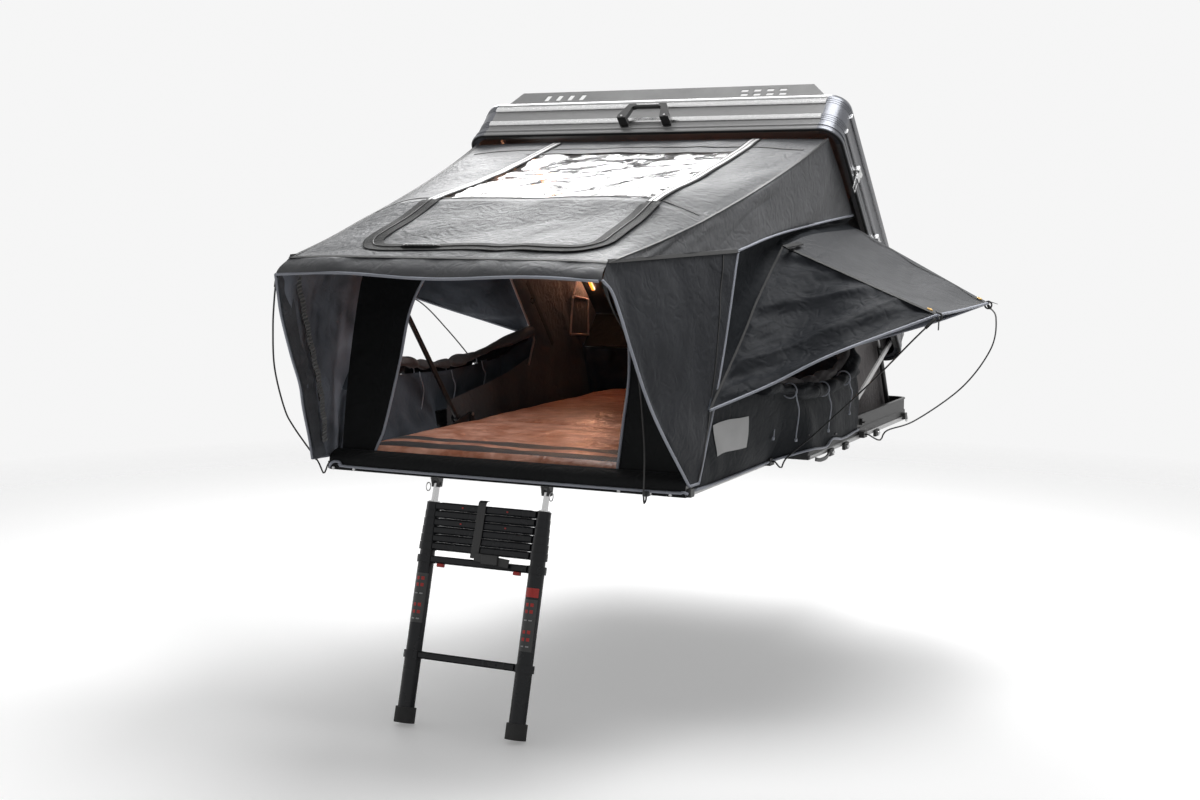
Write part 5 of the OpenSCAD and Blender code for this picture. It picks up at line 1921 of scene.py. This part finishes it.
    def sill(self) -> None:
        """Wraps the front of the fold-out floor, with piping and snaps."""
        x = np.linspace(-0.672, 0.672, 70)
        marks = ((-1.484, 0.062), (-1.505, 0.056), (-1.525, 0.046), (-1.5335, 0.034),
                 (-1.535, 0.02), (-1.535, 0.004), (-1.5335, -0.006))
        rows = np.array([[(v, y, z) for v in x] for y, z in marks])
        wrap = Folds(0.003, 0.14, 0.0, 99, 0.05).apply(rows)
        self.panel("sill_wrap", wrap, DARK_CANVAS, Motion.FLOOR, "stretched", ["fold_frame"])
        pipe = curve([(-0.674, -1.53, -0.003), (-0.664, -1.537, 0.014), (-0.642, -1.538, 0.024),
                      (-0.615, -1.539, 0.016), (-0.58, -1.5395, 0.008), (0.0, -1.5395, 0.006),
                      (0.6, -1.5395, 0.008), (0.66, -1.538, 0.012), (0.677, -1.528, 0.006)], 110)
        self.pipe("sill_piping", pipe, Motion.FLOOR)
        snaps = ((-0.655, -0.001), (-0.57, 0.0), (0.44, 0.0), (0.55, 0.0), (0.62, 0.0))
        for i, (place, up) in enumerate(snaps):
            path = curve([(place, y, up) for y in (-1.534, -1.5372, -1.5386)], 4)
            snap = tube(f"sill_snap_{i}", path, [0.0062, 0.0062, 0.0058, 0.0035], STEEL, 14)
            Motion.FLOOR.carry(snap)


# Bedding and inside


@dataclass
class Bedding:
    """Two mattress halves with quilted tops and mesh bands."""

    half: float = 0.622
    floor_top: float = 0.0305
    base_top: float = 0.0325
    crown: float = 0.084
    front: float = -1.462
    split: float = -0.6545
    rear: float = 0.607
    bands: tuple[tuple[float, float], ...] = ((0.03, 0.1), (0.15, 0.225))

    def build(self) -> None:
        """Builds both halves."""
        for name, y0, y1, low, motion, node in (
                ("mattress_front", self.front, self.split - 0.003, self.floor_top,
                 Motion.FLOOR, "fold_mattress"),
                ("mattress_rear", self.split + 0.003, self.rear, self.base_top,
                 Motion.BASE, "base_mattress")):
            piece = self.half_pad(name, y0, y1, low)
            motion.carry(piece)
            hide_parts(node)
            LOG.info("%s built", name)

    def half_pad(self, name: str, y0: float, y1: float, low: float) -> bpy.types.Object:
        """Makes one crowned pad.

        Args:
            name: Name of the piece.
            y0: Front end.
            y1: Rear end.
            low: Height of its underside.

        Returns:
            The new object.
        """
        cols, rows = 96, 90
        u, v = np.meshgrid(np.linspace(-1, 1, cols), np.linspace(-1, 1, rows))
        x = self.half * np.sign(u) * np.abs(u) ** 0.9
        y = (y0 + y1) / 2 + (y1 - y0) / 2 * np.sign(v) * np.abs(v) ** 0.9
        rim = (1 - np.abs(u) ** 14) * (1 - np.abs(v) ** 14)
        quilt = 0.0022 * np.abs(np.sin(x * 9.5)) ** 0.6
        quilt = quilt + 0.003 * smooth_noise(x * 5 + 4, y * 16 + 9, 3)
        quilt += 0.0015 * smooth_noise(x * 17 + 4, y * 34 + 9, 5)
        top = low + (self.crown - low) * (0.45 + 0.55 * rim) - (0.004 - quilt) * rim
        sides = 1 - 0.012 * np.cos(v * math.pi / 2) * np.abs(u) ** 8
        upper = np.stack([x * sides, y, top], axis=2).reshape(-1, 3)
        under = np.stack([x * 0.995, y, np.full_like(x, low)], axis=2).reshape(-1, 3)
        n = rows * cols
        faces = grid_faces(rows, cols)
        faces += [tuple(i + n for i in reversed(f)) for f in grid_faces(rows, cols)]
        loop = list(range(cols)) + [r * cols + cols - 1 for r in range(1, rows)]
        loop += [(rows - 1) * cols + c for c in range(cols - 2, -1, -1)]
        loop += [r * cols for r in range(rows - 2, 0, -1)]
        faces += [(loop[i], loop[i] + n, loop[(i + 1) % len(loop)] + n, loop[(i + 1) % len(loop)])
                  for i in range(len(loop))]
        points = np.vstack([upper, under])
        piece = solid(name, points, faces, COVER, points[:, :2])
        piece.data.materials.append(SPACER.material())
        for face in piece.data.polygons:
            reach = face.center.y - y0
            if name == "mattress_front" and any(a < reach < b for a, b in self.bands):
                face.material_index = 1
        return piece


@dataclass
class Inside:
    """Hanging pocket on the inner wall."""

    x: float = -0.6965
    rim: tuple[tuple[float, float], ...] = ((0.4, 0.5), (0.372, 0.33), (0.556, 0.316),
                                            (0.548, 0.48))

    def build(self) -> None:
        """Sews the pocket and its piping."""
        cloth = ClothWork()
        a, b, c, d = ((self.x, y, z) for y, z in self.rim)
        grid = ruled(curve([a, d], 20), curve([b, c], 20), 20)
        grid[:, :, 0] += 0.004 * arch(20)[:, None] * arch(20)[None]
        pocket = cloth.panel("pocket_cloth", grid, LINING, Motion.WALL, "hung", ["side_walls"])
        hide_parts("organizer_pocket")
        loop = chain(curve([a, b], 16), curve([b, c], 14), curve([c, d], 16), curve([d, a], 14))
        cloth.pipe("pocket_piping", loop + (0.002, 0, 0), Motion.WALL, ROSE_PIPING)
        strap = curve([(self.x, 0.405, 0.498), (self.x, 0.44, 0.56), (self.x, 0.47, 0.6)], 10)
        cloth.pipe("pocket_strap_front", strap, Motion.WALL, ROSE_PIPING)


# Hard parts


@dataclass
class Shell:
    """Base, lid and moving metalwork, which keep their frame shapes."""

    finishes: tuple[tuple[Finish, tuple[str, ...]], ...] = (
        (BOARD, ("base_floor", "fold_floor")),
        (RAIL_ALLOY, ("base_side_rails", "base_rear_rail")),
        (GREY_ALLOY, ("mount_rails", "fold_frame", "lift_arms", "strut_rods")),
        (BLACK_COAT, ("base_front_sill", "front_bow", "arm_brackets", "floor_hinge_posts",
                      "bow_brackets", "base_side_fittings", "strut_cylinders",
                      "fold_hinge_leaves", "floor_brackets", "lid_pivots")),
        (PLATE_COAT, ("fairing_plate",)),
        (CAP_ALLOY, ("lid_corner_caps",)),
        (BLACK_MOULD, ("grab_handle", "bow_knuckles", "base_corner_caps")),
        (STEEL, ("hinge_pins", "lid_bolts", "latch_bases", "latch_lever_front_right",
                 "latch_lever_rear_right", "latch_lever_front_left", "latch_lever_rear_left",
                 "ladder_hooks")),
        (DARK_ALLOY, ("lid_frame", "lid_panel", "lid_top_rails")),
        (BRIGHT_ALLOY, ("lid_ribs",)),
        (RUBBER, ("lid_seal", "ladder_feet")),
        (AMBER, ("light_strip",)),
        (LADDER_COAT, tuple(f"ladder_section_{k}" for k in range(1, 9))),
    )

    def build(self) -> None:
        """Gives each frame node its finish and adds the small fittings."""
        for finish, nodes in self.finishes:
            for node in nodes:
                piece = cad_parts[node]
                piece.data.materials.clear()
                piece.data.materials.append(finish.material())
                LOG.info("%s: %s", node, finish.name)
        for name, side in SIDES.items():
            self.fittings(name, side)

    def fittings(self, name: str, side: float) -> None:
        """Adds clamps, a hinge strap and the rail's end ring to one side.

        Args:
            name: Name of the side.
            side: Sign of the side.
        """
        flip = FLIPS[name]
        for i, y in enumerate((-0.42, -0.24, 0.17)):
            clamp = block(f"rail_clamp_{i}_{name}", (side * 0.785, y, -0.002), (0.014, 0.05, 0.028),
                          BLACK_MOULD, 0.004)
            path = curve([(x, y, -0.002) for x in (0.79, 0.797, 0.8)], 4) * flip
            knob = tube(f"clamp_knob_{i}_{name}", path, [0.008, 0.008, 0.007, 0.004], STEEL, 14)
            Motion.BASE.carry(clamp, knob)
        bow = curve([(0.784, -0.6, -0.004), (0.788, -0.56, -0.012), (0.79, -0.5, -0.012),
                     (0.786, -0.45, -0.002)], 16)
        strap = band(f"hinge_strap_{name}", bow * flip, np.array([1.0, 0.0, 0.0]) * flip, 0.014,
                     0.005, BLACK_COAT)
        end = ring(f"rail_ring_{name}", (side * 0.79, 0.6, 0.006), (1.0, 0.0, 0.0), 0.012, 0.003,
                   STEEL)
        Motion.BASE.carry(strap, end)


@dataclass
class Ladder:
    """Small parts of the telescopic ladder."""

    top: Point = (-0.04, -1.512, -0.03)
    lean: float = math.radians(16.4)
    pitch: float = 0.42
    label_r: float = 0.02678
    label_turn: float = 1.1
    label_size: tuple[int, int] = (6, 41)
    field_lift: float = 0.00012
    first: float = 0.066
    step: float = 0.027

    def at(self, x: float, out: float, down: float) -> Point:
        """Places a point of the ladder.

        Args:
            x: Sideways place from the middle.
            out: Distance in front of the rails' plane.
            down: Distance below the hook pin.

        Returns:
            The point in the part's frame.
        """
        c, s = math.cos(self.lean), math.sin(self.lean)
        return (self.top[0] + x, self.top[1] - out * c - down * s, self.top[2] + out * s - down * c)

    def label(self, name: str, x: float, spot: tuple[float, float, float, float], finish: Finish,
              lift: float = 0.0) -> None:
        """Sticks a blank label round the front of a rail.

        Args:
            name: Name of the piece.
            x: Sideways place of the rail.
            spot: Its two ends below the hook pin and its two edges round the tube.
            finish: Face of the label.
            lift: Height above the label beneath it.
        """
        d0, d1, a0, a1 = spot
        size = self.label_r + lift
        rows, cols = self.label_size
        points = np.array([self.at(x + size * math.sin(a), size * math.cos(a), d)
                           for d in np.linspace(d0, d1, rows) for a in np.linspace(a0, a1, cols)])
        Motion.LADDER_MIDDLE.carry(solid(name, points, grid_faces(rows, cols), finish))

    def labels(self) -> None:
        """Sticks the blank labels and their blank fields on both rails."""
        turn = self.label_turn
        fields = ((0.012, RED_TAB), (0.034, RED_TAB), (0.066, LABEL_PALE),
                  (0.1, RED_TAB), (0.124, RED_TAB), (0.15, LABEL_PALE))
        for name, sign, d0, d1 in (("right", 1.0, 0.352, 0.52), ("left", -1.0, 0.305, 0.47)):
            x = sign * self.pitch / 2
            self.label(f"rail_label_{name}", x, (d0, d1, -turn, turn), LABEL)
            for i, (down, finish) in enumerate(fields):
                tall = 0.011 if finish is RED_TAB else 0.004
                for j, a in enumerate((-0.42, 0.22)):
                    place = (d0 + down, d0 + down + tall, a, a + 0.4)
                    self.label(f"label_field_{i}_{j}_{name}", x, place, finish, self.field_lift)
        self.label("rail_label_red", self.pitch / 2, (0.315, 0.345, -turn, turn), RED_TAB)

    def rungs(self) -> None:
        """Lays a rubber tread on each stacked rung."""
        for k in range(1, 7):
            down = self.first + self.step * (k - 1)
            tread = block(f"rung_tread_{k}", self.at(0.0, 0.0, down - 0.0013), (0.34, 0.034, 0.0024),
                          RUBBER, 0.0006, -self.lean)
            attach(tread, f"ladder_{k}")

    def build(self) -> None:
        """Adds release tabs, lock marks, labels, treads, strap and ring pins."""
        for name, sign in SIDES.items():
            tab = block(f"release_tab_{name}", self.at(sign * 0.145, 0.012, 0.274),
                        (0.024, 0.016, 0.012), RED_TAB, 0.002, -self.lean)
            Motion.LADDER_MIDDLE.carry(tab)
            pin = ring(f"ring_pin_{name}", self.at(sign * (self.pitch / 2 + 0.024), 0.012, 0.014),
                       (1.0, 0.0, 0.0), 0.014, 0.0018, STEEL)
            Motion.FLOOR.carry(pin)
            for k in (1, 3):
                spot = self.at(sign * 0.085, 0.0215, 0.05 + self.step * k)
                mark = block(f"lock_mark_{k}_{name}", spot, (0.006, 0.002, 0.005), RED_TAB, 0.0008,
                             -self.lean)
                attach(mark, f"ladder_{k}")
        self.labels()
        self.rungs()
        out = np.array(self.at(0, 1, 0)) - np.array(self.top)
        marks = ((-0.01, 0.004, 0.047), (-0.01, 0.02, 0.05), (-0.01, 0.0245, 0.07),
                 (-0.012, 0.024, 0.15), (-0.016, 0.024, 0.24))
        strap = curve([self.at(*mark) for mark in marks], 20)
        piece = band("ladder_strap", strap, out, 0.03, 0.002, BLACK_WEB)
        across = np.array([self.at(x, 0.03, 0.235 + 0.1 * x) for x in np.linspace(-0.01, 0.12, 8)])
        tail = band("strap_tail", across, out, 0.028, 0.003, BLACK_WEB)
        buckle = block("strap_buckle", self.at(0.05, 0.034, 0.24), (0.06, 0.012, 0.034),
                       BLACK_MOULD, 0.003, -self.lean)
        Motion.LADDER_TOP.carry(piece, tail, buckle)


# Stage


@dataclass
class Studio:
    """Pale floor, soft light and the camera of the photograph."""

    camera_at: Point = (2.6656, -6.2812, 0.9058)
    yaw: float = -25.77
    pitch: float = -6.68
    lens: float = 49.9
    sensor: float = 36.0
    floor_size: float = 30.0
    ambient: float = 0.2
    backdrop: float = 0.92
    far_clip: float = 200.0
    lamps: tuple[tuple[str, Point, Point, float, float], ...] = (
        ("rear_softbox", (-1.5, 2.1, 3.4), (0.0, -0.9, 0.7), 2.8, 215.0),
        ("top_softbox", (1.5, -0.4, 4.2), (0.0, -0.9, 0.5), 2.4, 175.0),
        ("front_fill", (4.2, -4.6, 3.2), (0.3, -0.9, 0.4), 0.9, 12.0),
        ("left_fill", (-4.6, -2.6, 1.6), (0.0, -1.2, 0.4), 2.6, 16.0))

    def build(self) -> None:
        """Builds camera, floor, world and lamps."""
        data = bpy.data.cameras.new("camera")
        data.lens = self.lens
        data.sensor_width = self.sensor
        data.sensor_fit = "HORIZONTAL"
        data.clip_end = self.far_clip
        camera = bpy.data.objects.new("camera", data)
        bpy.context.scene.collection.objects.link(camera)
        camera.location = self.camera_at
        camera.rotation_euler = (math.radians(90.0 + self.pitch), 0.0, -math.radians(self.yaw))
        bpy.context.scene.camera = camera
        bpy.context.scene.view_settings.view_transform = "Standard"
        self.floor()
        self.world()
        for lamp in self.lamps:
            self.lamp(*lamp)

    def floor(self) -> None:
        """Lays a pale floor under the ladder's feet."""
        level = min(CAD_BOX[0][2], CAD_BOX[1][2])
        size = self.floor_size / 2
        points = np.array([(-size, -size, level), (size, -size, level),
                           (size, size, level), (-size, size, level)])
        ground = Ground("pale floor", grey(0.86), 0.6)
        piece = solid("floor", points, [(0, 1, 2, 3)], ground, smooth=False)

    def world(self) -> None:
        """Lights the scene evenly and shows white behind the object."""
        world = bpy.data.worlds.new("studio")
        bpy.context.scene.world = world
        world.use_nodes = True
        graph = Graph(world.node_tree)
        path = graph.add("ShaderNodeLightPath")
        seen = graph.math("MAXIMUM", path.outputs["Is Camera Ray"],
                          path.outputs["Is Transmission Ray"])
        seen = graph.math("MAXIMUM", seen, path.outputs["Is Glossy Ray"])
        soft = graph.add("ShaderNodeBackground", {"Color": grey(1.0), "Strength": self.ambient})
        white = graph.add("ShaderNodeBackground", {"Color": grey(self.backdrop), "Strength": 1.0})
        mix = graph.add("ShaderNodeMixShader", {0: seen, 1: soft.outputs[0], 2: white.outputs[0]})
        out = graph.add("ShaderNodeOutputWorld")
        graph.join(mix.outputs[0], out, "Surface")

    def lamp(self, name: str, spot: Point, aim: Point, size: float, watts: float) -> None:
        """Hangs one soft lamp.

        Args:
            name: Name of the lamp.
            spot: Its place.
            aim: Point that it faces.
            size: Width of its face.
            watts: Its power.
        """
        data = bpy.data.lights.new(name, "AREA")
        data.size = size
        data.energy = watts
        lamp = bpy.data.objects.new(name, data)
        bpy.context.scene.collection.objects.link(lamp)
        lamp.location = spot
        lamp.rotation_euler = (Vector(aim) - Vector(spot)).to_track_quat("-Z", "Y").to_euler()


def main() -> None:
    """Builds every sub-assembly in order."""
    logging.basicConfig(level=logging.INFO, format="%(name)s %(message)s")
    for part in (Studio(), Shell(), Roof(), Fly(), Awnings(), Walls(), Bedding(), Inside(),
                 Ladder()):
        part.build()
        LOG.info("%s is built", type(part).__name__)


if __name__ == "__main__":
    main()
